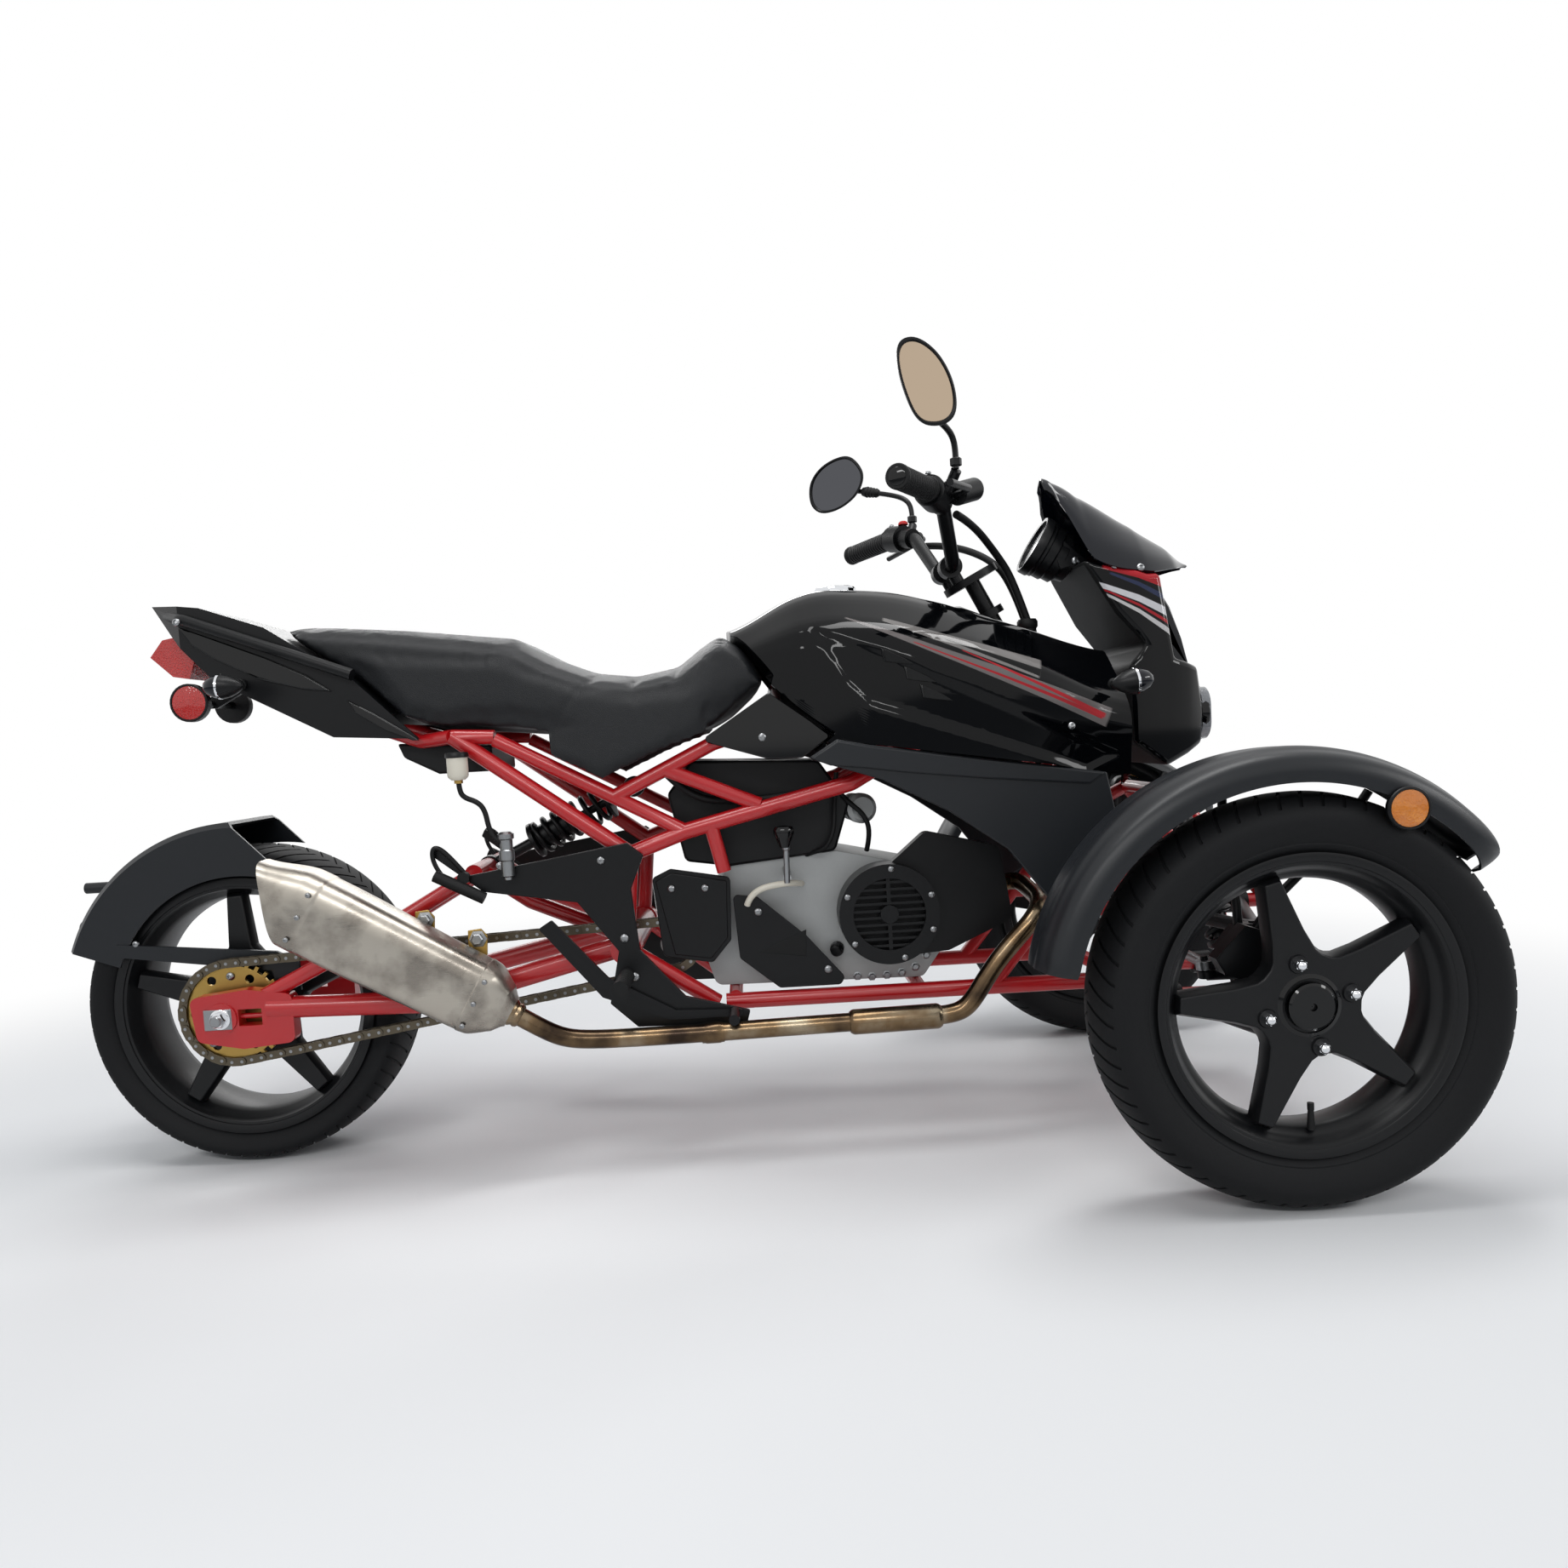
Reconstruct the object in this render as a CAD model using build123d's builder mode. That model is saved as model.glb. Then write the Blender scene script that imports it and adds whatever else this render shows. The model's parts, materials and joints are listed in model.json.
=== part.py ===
from build123d import *
import math
import os

os.makedirs("parts", exist_ok=True)

# Motor trike with two steered wheels in front and one driven wheel behind.
# +X forward, +Y to the rider's left, +Z up. The origin is on the ground, midway between the tips.
# In every table below, x is measured forward from the rear axle and z up from the ground.

# Driving dimensions, in millimetres and degrees
wheelbase = 1515.0
track = 836.0
rear_axle_to_origin = 749.0
running_gap = 0.3            # between a pin and what turns on it
seat_gap = 0.3               # between pieces that are set against each other

front_tyre_radius = 268.0
front_tyre_width = 113.0
front_flange_radius = 194.0
front_rim_width = 92.0
rear_tyre_radius = 257.0
rear_tyre_width = 151.0
rear_flange_radius = 208.0
rear_rim_width = 132.0
tyre_wall = 9.0
rim_wall = 5.0
flange_height = 15.0
flange_thickness = 6.0
lug_circle_radius = 55.0
lug_radius = 7.0

front_hub_radius = 42.0
front_stub_radius = 12.0
front_disc_radius = 66.0
front_disc_inset = 40.0      # from the wheel's middle plane towards the trike
rear_hub_radius = 48.0
rear_axle_radius = 8.5
rear_disc_radius = 88.0
disc_thickness = 4.0

chain_pitch = 15.875
chain_offset = 100.0         # chain line from the middle plane, on the right
chain_plate = 3.0
chain_gap = 10.0             # between the two rows of plates
rear_teeth = 31
front_teeth = 15
sprocket_thickness = 6.0
front_sprocket_x = 695.0
front_sprocket_z = 324.0

kingpin_inset = 83.0         # from the front wheel's middle plane towards the trike
kingpin_radius = 7.0
caster = 8.0
steering_arm = 80.0
wheel_lock = 25.0
bar_lock = 33.0
rake = 27.0
column_radius = 13.0
column_x = 1213.0            # a point on the steering axis
column_z = 866.0
tie_rod_radius = 7.0
tie_rod_z = 300.0
tie_eye_radius = 13.0
tie_pin_radius = 5.0
lower_arm_z = 200.0
upper_arm_z = 345.0
arm_inner_y = 112.0
arm_tube_radius = 10.0
arm_eye_radius = 15.0

frame_tube_radius = 12.5
rail_tube_radius = 11.0
trellis_y = 140.0
cradle_y = 112.0
bend = 30.0

bar_radius = 11.0
grip_radius = 17.0
mirror_stem_radius = 4.5
pipe_radius = 14.0

# Places worked out from the driving dimensions
hands = {"right": -1, "left": 1}
front_y = track / 2
kingpin_y = front_y - kingpin_inset
caster_axis = Vector(-math.sin(math.radians(caster)), 0, math.cos(math.radians(caster)))
rake_axis = Vector(-math.sin(math.radians(rake)), 0, math.cos(math.radians(rake)))
pitman_arm = steering_arm * math.sin(math.radians(wheel_lock)) / math.sin(math.radians(bar_lock))
side = Plane(origin=(-rear_axle_to_origin, 0, 0), x_dir=(1, 0, 0), z_dir=(0, -1, 0))


def spot(x, y, z):
    return Vector(x - rear_axle_to_origin, y, z)


def across(x):
    return Plane(origin=spot(x, 0, 0), x_dir=(0, 1, 0), z_dir=(1, 0, 0))


def on_column(z):
    """The point of the steering axis at a height."""
    return spot(column_x + (column_z - z) * math.tan(math.radians(rake)), 0, z)


def on_kingpin(hand, z):
    """The point of a kingpin's axis at a height."""
    return spot(wheelbase - (z - front_tyre_radius) * math.tan(math.radians(caster)), hand * kingpin_y, z)


# Pieces that recur: tubes, rods, collars, plates and bodies through cross sections
def tube(points, radius, corner=0.0):
    with BuildPart() as piece:
        with BuildLine() as path:
            if corner > 0 and len(points) > 2:
                FilletPolyline(*points, radius=corner)
            else:
                Polyline(*points)
        with BuildSketch(Plane(origin=path.line @ 0, z_dir=path.line % 0)):
            Circle(radius)
        sweep(path=path.line)
    return piece.part


def cord(points, radius):
    """A tube whose bends are as wide as the runs on each side of them allow."""
    bends = []
    for before, at, after in zip(points, points[1:], points[2:]):
        turn = (at - before).get_angle(after - at)
        shorter = min((at - before).length, (after - at).length)
        bends.append(0.45 * shorter / math.tan(math.radians(turn / 2)))
    print("cord radii", [round(value) for value in bends])
    with BuildPart() as piece:
        with BuildLine() as path:
            FilletPolyline(*points, radius=bends)
        with BuildSketch(Plane(origin=path.line @ 0, z_dir=path.line % 0)):
            Circle(radius)
        sweep(path=path.line)
    return piece.part


def rod(start, end, radius):
    run = end - start
    with BuildPart() as piece:
        with BuildSketch(Plane(origin=start, z_dir=run)):
            Circle(radius)
        extrude(amount=run.length)
    return piece.part


def collar(centre, direction, outer, inner, width):
    with BuildPart() as piece:
        with BuildSketch(Plane(origin=centre, z_dir=direction).offset(-width / 2)):
            Circle(outer)
            if inner > 0:
                Circle(inner, mode=Mode.SUBTRACT)
        extrude(amount=width)
    return piece.part


def plate(points, near, thickness, corner=0.0):
    """A flat plate in a side plane, from near to near + thickness on the right of the middle."""
    with BuildPart() as piece:
        with BuildSketch(side.offset(near)) as outline:
            Polygon(*points, align=None)
            if corner > 0:
                fillet(outline.vertices(), corner)
        extrude(amount=thickness)
    return piece.part


def body(rows, section):
    """A body through cross sections, one for each row of a table whose first column is x."""
    with BuildPart() as piece:
        for row in rows:
            with BuildSketch(across(row[0])):
                Polygon(*section(*row[1:]), align=None)
        loft(ruled=True)
    return piece.part


def save(piece, label):
    piece.label = label
    export_step(piece, "parts/" + label + ".step")


# Tyres: a round-shouldered band whose walls come down inside the rim's flanges
def make_tyre(name, centre, radius, width, flange, rim_width, crown):
    half = width / 2
    seat = rim_width / 2 - flange_thickness - seat_gap
    bead = flange - flange_height + seat_gap
    lip = flange + seat_gap
    shoulder = radius - 0.42 * (radius - flange)
    edge_radius = radius - crown * 0.12
    inner_crown = radius - crown * 0.4 - tyre_wall
    with BuildPart() as tyre:
        with BuildSketch(Plane(origin=centre)):
            with BuildLine():
                Line((bead, -seat), (lip, -seat))
                ThreePointArc((lip, -seat), (shoulder - 12, -half + 1.0), (shoulder, -half))
                ThreePointArc((shoulder, -half), (radius - crown * 0.45, -half * 0.84),
                              (edge_radius, -half * 0.5))
                ThreePointArc((edge_radius, -half * 0.5), (radius, 0), (edge_radius, half * 0.5))
                ThreePointArc((edge_radius, half * 0.5), (radius - crown * 0.45, half * 0.84),
                              (shoulder, half))
                ThreePointArc((shoulder, half), (shoulder - 12, half - 1.0), (lip, seat))
                Polyline(
                    (lip, seat), (bead, seat), (bead, seat - tyre_wall), (shoulder, half - tyre_wall),
                    (inner_crown, half * 0.62), (inner_crown, -half * 0.62), (shoulder, -half + tyre_wall),
                    (bead, -seat + tyre_wall), (bead, -seat))
            make_face()
        revolve(axis=Axis(centre, (0, 1, 0)))
    save(tyre.part, name)


for hand_name, hand in hands.items():
    make_tyre("tyre_front_" + hand_name, spot(wheelbase, hand * front_y, front_tyre_radius),
              front_tyre_radius, front_tyre_width, front_flange_radius, front_rim_width, 30.0)
make_tyre("tyre_rear", spot(0, 0, rear_tyre_radius),
          rear_tyre_radius, rear_tyre_width, rear_flange_radius, rear_rim_width, 16.0)


# Rims: a dropped barrel and five tapering spokes between rounded windows
def bare_rim(centre, hand, flange, rim_width, spoke_near, spoke_far, window_inner, phase):
    barrel = flange - flange_height
    drop = barrel - 12
    edge = rim_width / 2
    inner_edge = edge - flange_thickness
    window_outer = drop - rim_wall - 2
    outer_half = math.radians(36) - math.asin(15 / window_outer)
    inner_half = math.radians(36) - math.asin(21 / window_inner)
    face = Plane(origin=centre, x_dir=(1, 0, 0), z_dir=(0, hand, 0))
    with BuildPart() as rim:
        with BuildSketch(Plane(origin=centre)):
            with BuildLine():
                Polyline(
                    (flange, -edge), (flange, -inner_edge), (barrel, -inner_edge),
                    (barrel, -inner_edge + 16), (drop, -inner_edge + 26),
                    (drop, inner_edge - 26), (barrel, inner_edge - 16), (barrel, inner_edge),
                    (flange, inner_edge), (flange, edge), (barrel - rim_wall, edge),
                    (barrel - rim_wall, inner_edge - 18), (drop - rim_wall, inner_edge - 28),
                    (drop - rim_wall, -inner_edge + 28), (barrel - rim_wall, -inner_edge + 18),
                    (barrel - rim_wall, -edge), close=True)
            make_face()
        revolve(axis=Axis(centre, (0, 1, 0)))
        with BuildSketch(face.offset(spoke_far)):
            Circle(drop - rim_wall / 2)
        extrude(amount=spoke_near - spoke_far)
        with BuildSketch(face.offset(spoke_far)):
            with BuildSketch(mode=Mode.PRIVATE) as window:
                with BuildLine():
                    Polyline(
                        (window_outer * math.cos(outer_half), -window_outer * math.sin(outer_half)),
                        (window_inner * math.cos(inner_half), -window_inner * math.sin(inner_half)),
                        (window_inner * math.cos(inner_half), window_inner * math.sin(inner_half)),
                        (window_outer * math.cos(outer_half), window_outer * math.sin(outer_half)))
                    RadiusArc(
                        (window_outer * math.cos(outer_half), window_outer * math.sin(outer_half)),
                        (window_outer * math.cos(outer_half), -window_outer * math.sin(outer_half)),
                        window_outer)
                make_face()
                fillet(window.vertices(), 8)
            with PolarLocations(0, 5, start_angle=phase + 36):
                add(window.sketch)
        extrude(amount=spoke_near - spoke_far, mode=Mode.SUBTRACT)
    return rim.part


for hand_name, hand in hands.items():
    centre = spot(wheelbase, hand * front_y, front_tyre_radius)
    face = Plane(origin=centre, x_dir=(1, 0, 0), z_dir=(0, hand, 0))
    with BuildPart() as rim_front:
        add(bare_rim(centre, hand, front_flange_radius, front_rim_width, 34, 12, 76, 33))
        with BuildSketch(face.offset(-front_disc_inset)):
            Circle(front_hub_radius)
        extrude(amount=front_disc_inset + 20)
        with BuildSketch(face.offset(-front_disc_inset)):
            Circle(front_disc_radius)
        extrude(amount=disc_thickness)
        with BuildSketch(face.offset(30)):
            Circle(30)
        extrude(amount=18)
        with BuildSketch(face.offset(30)):
            with PolarLocations(lug_circle_radius, 4, start_angle=14):
                Circle(lug_radius)
        extrude(amount=12)
        with BuildSketch(face.offset(-front_disc_inset)):
            Circle(front_stub_radius + running_gap)
        extrude(amount=front_disc_inset + 24, mode=Mode.SUBTRACT)
    save(rim_front.part, "rim_front_" + hand_name)

rear_centre = spot(0, 0, rear_tyre_radius)
rear_face = Plane(origin=rear_centre, x_dir=(1, 0, 0), z_dir=(0, -1, 0))
sprocket_near = chain_offset - sprocket_thickness / 2
with BuildPart() as rim_rear:
    add(bare_rim(rear_centre, -1, rear_flange_radius, rear_rim_width, 56, 34, 84, 20))
    with BuildSketch(rear_face.offset(-chain_offset)):
        Circle(rear_hub_radius)
    extrude(amount=chain_offset + sprocket_near - seat_gap)
    with BuildSketch(rear_face.offset(-chain_offset)):
        Circle(rear_disc_radius)
    extrude(amount=disc_thickness)
    with BuildSketch(rear_face.offset(-chain_offset)):
        Circle(rear_axle_radius + running_gap)
    extrude(amount=2 * chain_offset, mode=Mode.SUBTRACT)
save(rim_rear.part, "rim_rear")


# Sprocket on the rear hub, its teeth between the chain's plates
def pitch_radius(teeth):
    return chain_pitch / (2 * math.sin(math.pi / teeth))


rear_pitch_radius = pitch_radius(rear_teeth)
front_pitch_radius = pitch_radius(front_teeth)
with BuildPart() as sprocket_rear:
    with BuildSketch(rear_face.offset(sprocket_near)):
        Circle(rear_pitch_radius - 4)
        with PolarLocations(rear_pitch_radius - 1, rear_teeth):
            Rectangle(10, 6)
        Circle(rear_axle_radius + 8, mode=Mode.SUBTRACT)
        with PolarLocations(rear_pitch_radius * 0.76, 6):
            Circle(7, mode=Mode.SUBTRACT)
    extrude(amount=sprocket_thickness)
save(sprocket_rear.part, "sprocket_rear")

# Drive chain: two rows of plates round both sprockets, joined by pins along the straight runs
chain_near = chain_offset - chain_gap / 2 - chain_plate
chain_plane = rear_face.offset(chain_near)
front_local = Vector(front_sprocket_x, front_sprocket_z - rear_tyre_radius)
run_length = front_local.length
run_angle = math.degrees(math.atan2(front_local.Y, front_local.X))
run_slope = math.degrees(math.asin((rear_pitch_radius - front_pitch_radius) / run_length))
mid_rise = (rear_pitch_radius + front_pitch_radius) / 2 / math.cos(math.radians(run_slope))
straight = run_length * math.cos(math.radians(run_slope))
with BuildPart() as chain:
    for start in (0.0, chain_plate + chain_gap):
        with BuildSketch(chain_plane.offset(start)):
            for grow, mode in ((6.0, Mode.ADD), (-6.0, Mode.SUBTRACT)):
                with BuildSketch(mode=Mode.PRIVATE) as belt:
                    Circle(rear_pitch_radius + grow)
                    with Locations((front_local.X, front_local.Y)):
                        Circle(front_pitch_radius + grow)
                    make_hull()
                add(belt.sketch, mode=mode)
        extrude(amount=chain_plate)
    with BuildSketch(chain_plane):
        for sign in (1, -1):
            turn = run_angle - sign * run_slope
            middle = front_local * 0.5 + Vector(0, sign * mid_rise).rotate(Axis.Z, run_angle)
            with Locations(Location((middle.X, middle.Y, 0), turn)):
                with GridLocations(chain_pitch, 0, int(straight / chain_pitch) - 5, 1):
                    Circle(4)
    extrude(amount=chain_gap + 2 * chain_plate)
save(chain.part, "chain")


# Frame: the red tube trellis on each side
knee_x, knee_z = 643.0, 475.0
node_x, node_z = 729.0, 505.0
pivot_x, pivot_z = 628.0, 330.0
for hand_name, hand in hands.items():
    knee = spot(knee_x, hand * trellis_y, knee_z)
    node = spot(node_x, hand * trellis_y, node_z)
    seat_end = spot(385, hand * trellis_y, 668)
    head = on_column(760) + Vector(-36, hand * 20, 0)
    # Columns: points, tube radius, bend radius
    runs = [
        ([knee, node, spot(984, hand * trellis_y, 564), spot(1130, hand * 110, 640), head],
         frame_tube_radius, 40),
        ([seat_end, knee], frame_tube_radius, 0),
        ([spot(40, hand * 60, 790), spot(230, hand * 84, 700), spot(326, hand * 96, 664), seat_end],
         rail_tube_radius, 20),
        ([spot(449, hand * trellis_y, 660), node], rail_tube_radius, 0),
        ([seat_end, spot(449, hand * trellis_y, 664)], rail_tube_radius, 0),
        ([spot(620, hand * trellis_y, 562), spot(775, hand * trellis_y, 635),
          spot(858, hand * 130, 658)], rail_tube_radius, bend),
        ([spot(704, hand * trellis_y, 600), spot(844, hand * trellis_y, 539)], rail_tube_radius, 0),
        ([spot(767, hand * trellis_y, 515), spot(784, hand * trellis_y, 440)], rail_tube_radius, 0),
        ([knee, spot(pivot_x, hand * trellis_y, pivot_z),
          spot(761, hand * cradle_y, 232)], frame_tube_radius, bend),
    ]
    with BuildPart() as trellis:
        for points, radius, corner in runs:
            add(tube(points, radius, corner))
        add(collar(spot(pivot_x, hand * trellis_y, pivot_z), (0, 1, 0), 24, 0, 24))
        add(rod(spot(640, hand * trellis_y, 572), spot(640, hand * seat_gap, 572), rail_tube_radius))
    save(trellis.part, "trellis_" + hand_name)

# Cradle: bottom tubes, front down tubes, the bulkhead that carries the wishbones, and the steering head
lower_pivot_rear = wheelbase - 135
lower_pivot_front = wheelbase + 125
# Columns: x, z, half length
cross_bars = [
    (790, 238, cradle_y),
    (1080, 233.5, cradle_y),
    (lower_pivot_rear + 62, lower_arm_z, cradle_y),
    (lower_pivot_front + 6, lower_arm_z, cradle_y),
    (wheelbase - 30, 520, 132),
]
with BuildPart() as cradle:
    for hand in hands.values():
        y = hand * cradle_y
        add(tube([spot(775, y, 232), spot(lower_pivot_rear, y, 232),
                  spot(lower_pivot_rear + 60, y, lower_arm_z),
                  spot(lower_pivot_front + 20, y, lower_arm_z)], frame_tube_radius, bend))
        add(tube([spot(1190, y, 232), spot(1320, y, 390), spot(lower_pivot_rear, y * 0.9, 470),
                  spot(wheelbase - 30, y * 0.9, 520)], rail_tube_radius, bend))
        add(tube([spot(1285, y, upper_arm_z), spot(lower_pivot_front, y, upper_arm_z),
                  spot(lower_pivot_front + 18, y, lower_arm_z)], rail_tube_radius, bend))
        add(tube([spot(wheelbase - 30, y * 0.9, 520), spot(lower_pivot_front - 12, y, upper_arm_z)],
                 rail_tube_radius))
        add(tube([spot(1320, y, 390), on_column(700) + Vector(0, hand * 27, 0)], rail_tube_radius))
        add(rod(on_column(700) + Vector(0, hand * 23, 0), spot(1417, hand * 46, 700), 7))
    for x, z, reach in cross_bars:
        add(rod(spot(x, -reach, z), spot(x, reach, z), rail_tube_radius))
    add(collar(on_column(735), rake_axis, 24, column_radius + running_gap, 120))
    add(collar(on_column(upper_arm_z + 36), rake_axis, 22, column_radius + running_gap, 22))
    for hand in hands.values():
        add(rod(on_column(upper_arm_z + 36) + Vector(0, hand * 22, 0),
                on_column(upper_arm_z + 36) + Vector(13, hand * cradle_y, -30), 9))
save(cradle.part, "cradle")

# Swingarm: two arms with axle plates, a cross tube at the pivot and an upper brace
arm_y = 130.0
with BuildPart() as swingarm:
    for hand in hands.values():
        y = hand * arm_y
        near = arm_y - 12 if hand < 0 else -arm_y - 12
        add(plate([(-48, 290), (40, 300), (110, 290), (110, 215), (30, 208), (-40, 222)], near, 24, 12))
        add(plate([(26, 244), (62, 244), (62, 270), (26, 270)], near, 24), mode=Mode.SUBTRACT)
        add(rod(spot(20, y, rear_tyre_radius), spot(66, y, rear_tyre_radius), 4))
        add(tube([spot(70, y, 268), spot(330, y, 262), spot(pivot_x, hand * 104, pivot_z)], 17, 60))
        add(tube([spot(60, y, 285), spot(250, y, 375), spot(395, hand * 100, 455)], 12, 60))
        add(collar(spot(0, y, rear_tyre_radius), (0, 1, 0), 24, 0, 30))
    add(rod(spot(pivot_x, -120, pivot_z), spot(pivot_x, 120, pivot_z), 22))
    add(rod(spot(395, -112, 455), spot(395, 112, 455), 14))
    add(tube([spot(395, 60, 455), spot(470, 60, 400), spot(pivot_x, 60, pivot_z)], 12, bend))
    add(tube([spot(395, -60, 455), spot(470, -60, 400), spot(pivot_x, -60, pivot_z)], 12, bend))
    add(rod(spot(0, -arm_y - 20, rear_tyre_radius), spot(0, arm_y + 20, rear_tyre_radius), rear_axle_radius))
save(swingarm.part, "swingarm")

# Engine: crankcase and drive case, cylinder and the gear case with the output shaft
with BuildPart() as engine:
    add(plate([(760, 250), (1090, 245), (1130, 300), (1110, 420), (960, 455), (790, 440),
               (745, 380), (745, 300)], -75, 150, 14))
    add(plate([(705, 285), (1040, 260), (1110, 300), (1110, 400), (1040, 420), (705, 400)],
              -103, 32, 24))
    add(rod(spot(front_sprocket_x, -60, front_sprocket_z), spot(front_sprocket_x, -90, front_sprocket_z), 20))
    add(rod(spot(front_sprocket_x, -60, front_sprocket_z), spot(770, -60, 350), 20))
    add(rod(spot(1100, 0, 350), spot(1222, 0, 380), 52))
save(engine.part, "engine")

# Fan cover with its grille, and the cooling shroud round the cylinder
fan_x, fan_z = 1035.0, 357.0
with BuildPart() as fan_shroud:
    add(collar(spot(fan_x, -103, fan_z), (0, 1, 0), 78, 0, 50))
    add(plate([(1040, 430), (1100, 480), (1215, 450), (1232, 335), (1130, 290), (1060, 285)],
              75 + seat_gap, 23, 16))
    with BuildSketch(side.offset(128)):
        with Locations((fan_x, fan_z)):
            Circle(56)
            Circle(14, mode=Mode.SUBTRACT)
    extrude(amount=-22, mode=Mode.SUBTRACT)
    with BuildSketch(side.offset(124)):
        with Locations((fan_x, fan_z)):
            with GridLocations(0, 11, 1, 10):
                Rectangle(112, 4)
            Rectangle(6, 112)
            Circle(56, mode=Mode.INTERSECT)
    extrude(amount=-5)
save(fan_shroud.part, "fan_shroud")

# Air box behind the cylinder, under the seat
with BuildPart() as airbox:
    add(plate([(722, 452), (790, 441), (960, 456), (985, 530), (940, 600), (740, 610), (700, 560)],
              -85, 170, 12))
save(airbox.part, "airbox")

# Exhaust: header, cross pipe with its sleeve, and the muffler
muffler_start = spot(460, -205, 257)
muffler_end = spot(112, -215, 464)
muffler_run = muffler_end - muffler_start
with BuildPart() as exhaust_pipe:
    add(tube([spot(1223.4, -24, 378.7), spot(1252, -26, 386), spot(1264, -80, 372), spot(1264, -140, 370),
              spot(1246, -178, 346), spot(1189, -178, 290), spot(1132, -178, 208), spot(760, -178, 202),
              spot(540, -192, 205), muffler_start - muffler_run.normalized() * 2.6], pipe_radius, 20))
    add(rod(spot(965, -178, 205.3), spot(1095, -178, 207.4), pipe_radius + 5))
save(exhaust_pipe.part, "exhaust_pipe")

muffler_plane = Plane(origin=muffler_start, x_dir=(0, 1, 0), z_dir=muffler_run)
muffler_mouth = Plane(origin=spot(130, -214, 432), x_dir=(0, 1, 0), z_dir=(-0.99, 0, -0.137))
outlet_radius = 16.0
outlet_depth = 40.0
with BuildPart() as muffler:
    # Columns: distance along the muffler, half width, half height, corner
    for reach, half_width, half_height, corner in (
            (0, 24, 28, 12), (45, 44, 53, 22), (345, 48, 59, 24), (muffler_run.length + 14, 35, 34, 18)):
        with BuildSketch(muffler_plane.offset(reach)):
            RectangleRounded(2 * half_width, 2 * half_height, corner)
    loft(ruled=True)
    with BuildSketch(muffler_mouth):
        Rectangle(240, 240)
    extrude(amount=120, mode=Mode.SUBTRACT)
    with BuildSketch(muffler_mouth.offset(-outlet_depth)):
        Circle(outlet_radius)
    extrude(amount=outlet_depth, mode=Mode.SUBTRACT)
save(muffler.part, "muffler")

# Tank and upper shrouds, hollowed underneath over the frame and open round the steering head
# Columns: x, top z, top half width, shoulder z, shoulder half width, bottom z, bottom half width
tank_rows = [
    (806, 806, 70, 762, 118, 738, 108),
    (924, 858, 84, 790, 165, 640, 160),
    (1010, 860, 90, 785, 195, 622, 190),
    (1115, 842, 86, 755, 208, 604, 202),
    (1260, 792, 80, 715, 215, 580, 205),
    (1400, 745, 75, 650, 190, 555, 172),
]


def tank_section(top, top_half, shoulder, shoulder_half, bottom, bottom_half):
    return [(-bottom_half, bottom), (-shoulder_half, shoulder), (-top_half, top),
            (top_half, top), (shoulder_half, shoulder), (bottom_half, bottom)]


with BuildPart() as tank:
    add(body(tank_rows, tank_section))
    add(plate([(940, 560), (940, 690), (1420, 690), (1420, 500)], -160, 320), mode=Mode.SUBTRACT)
    add(plate([(1190, 560), (1175, 900), (1420, 900), (1420, 500)], -48, 96), mode=Mode.SUBTRACT)
    add(plate([(1090, 560), (1090, 745), (1420, 745), (1420, 500)], -100, 200), mode=Mode.SUBTRACT)
    add(plate([(700, 900), (800, 814), (834, 788), (875, 735), (869, 717), (963, 641), (914, 604),
               (914, 500), (700, 500)], -220, 440), mode=Mode.SUBTRACT)
save(tank.part, "tank")

# Side panels: lower shrouds under the tank, and covers under the front of the seat
with BuildPart() as side_panels:
    for near in (186, -196):
        add(plate([(918, 606), (962, 632), (1010, 621), (1115, 603), (1260, 579), (1356, 561.5), (1368, 500),
                   (1330, 380), (1282, 355), (1207, 455), (1123, 516), (1027, 568)], near, 10, 3))
    for near in (156, -164):
        add(plate([(760, 641), (866, 707), (957, 637), (912, 607), (863, 607)], near, 8, 6))
save(side_panels.part, "side_panels")

# Seat: one long saddle with skirts that come down outside the frame
seat_side = [(104, 856), (304, 838), (478, 815), (540, 776), (600, 752), (665, 744), (731, 756), (796, 806),
             (828, 782), (866, 733), (769, 648), (691, 622), (611, 588), (549, 618), (475, 660),
             (335, 672), (240, 765)]
seat_plan = [(100, 80), (300, 120), (480, 150), (620, 166), (760, 160), (870, 130)]
# Columns: x, crown z, crown half width, shoulder z, half width at the shoulder
seat_crown = [
    (90, 858, 40, 838, 84), (104, 857, 44, 838, 88), (304, 836, 62, 812, 126), (478, 812, 80, 786, 156),
    (540, 776, 84, 752, 166), (600, 751, 88, 730, 172), (665, 742, 88, 722, 172), (731, 753, 84, 734, 168),
    (796, 804, 76, 780, 160), (828, 782, 70, 762, 150), (872, 728, 60, 706, 138),
]


def crown_section(crown, crown_half, shoulder, shoulder_half):
    return [(-shoulder_half, 540), (-shoulder_half, shoulder), (-crown_half, crown),
            (crown_half, crown), (shoulder_half, shoulder), (shoulder_half, 540)]


with BuildPart() as seat:
    with BuildSketch(side.offset(-170)):
        Polygon(*[(x, z) for x, z in seat_side], align=None)
    extrude(amount=340)
    with BuildSketch(Plane(origin=spot(0, 0, 0))):
        Polygon(*(seat_plan + [(x, -y) for x, y in reversed(seat_plan)]), align=None)
    extrude(amount=1000, mode=Mode.INTERSECT)
    add(body(seat_crown, crown_section), mode=Mode.INTERSECT)
    add(plate([(290, 560), (290, 707), (350, 686), (385, 679.6), (420, 679.6),
               (600, 660), (780, 664), (860, 672), (860, 560)], -154, 308),
        mode=Mode.SUBTRACT)
save(seat.part, "seat")

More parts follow.
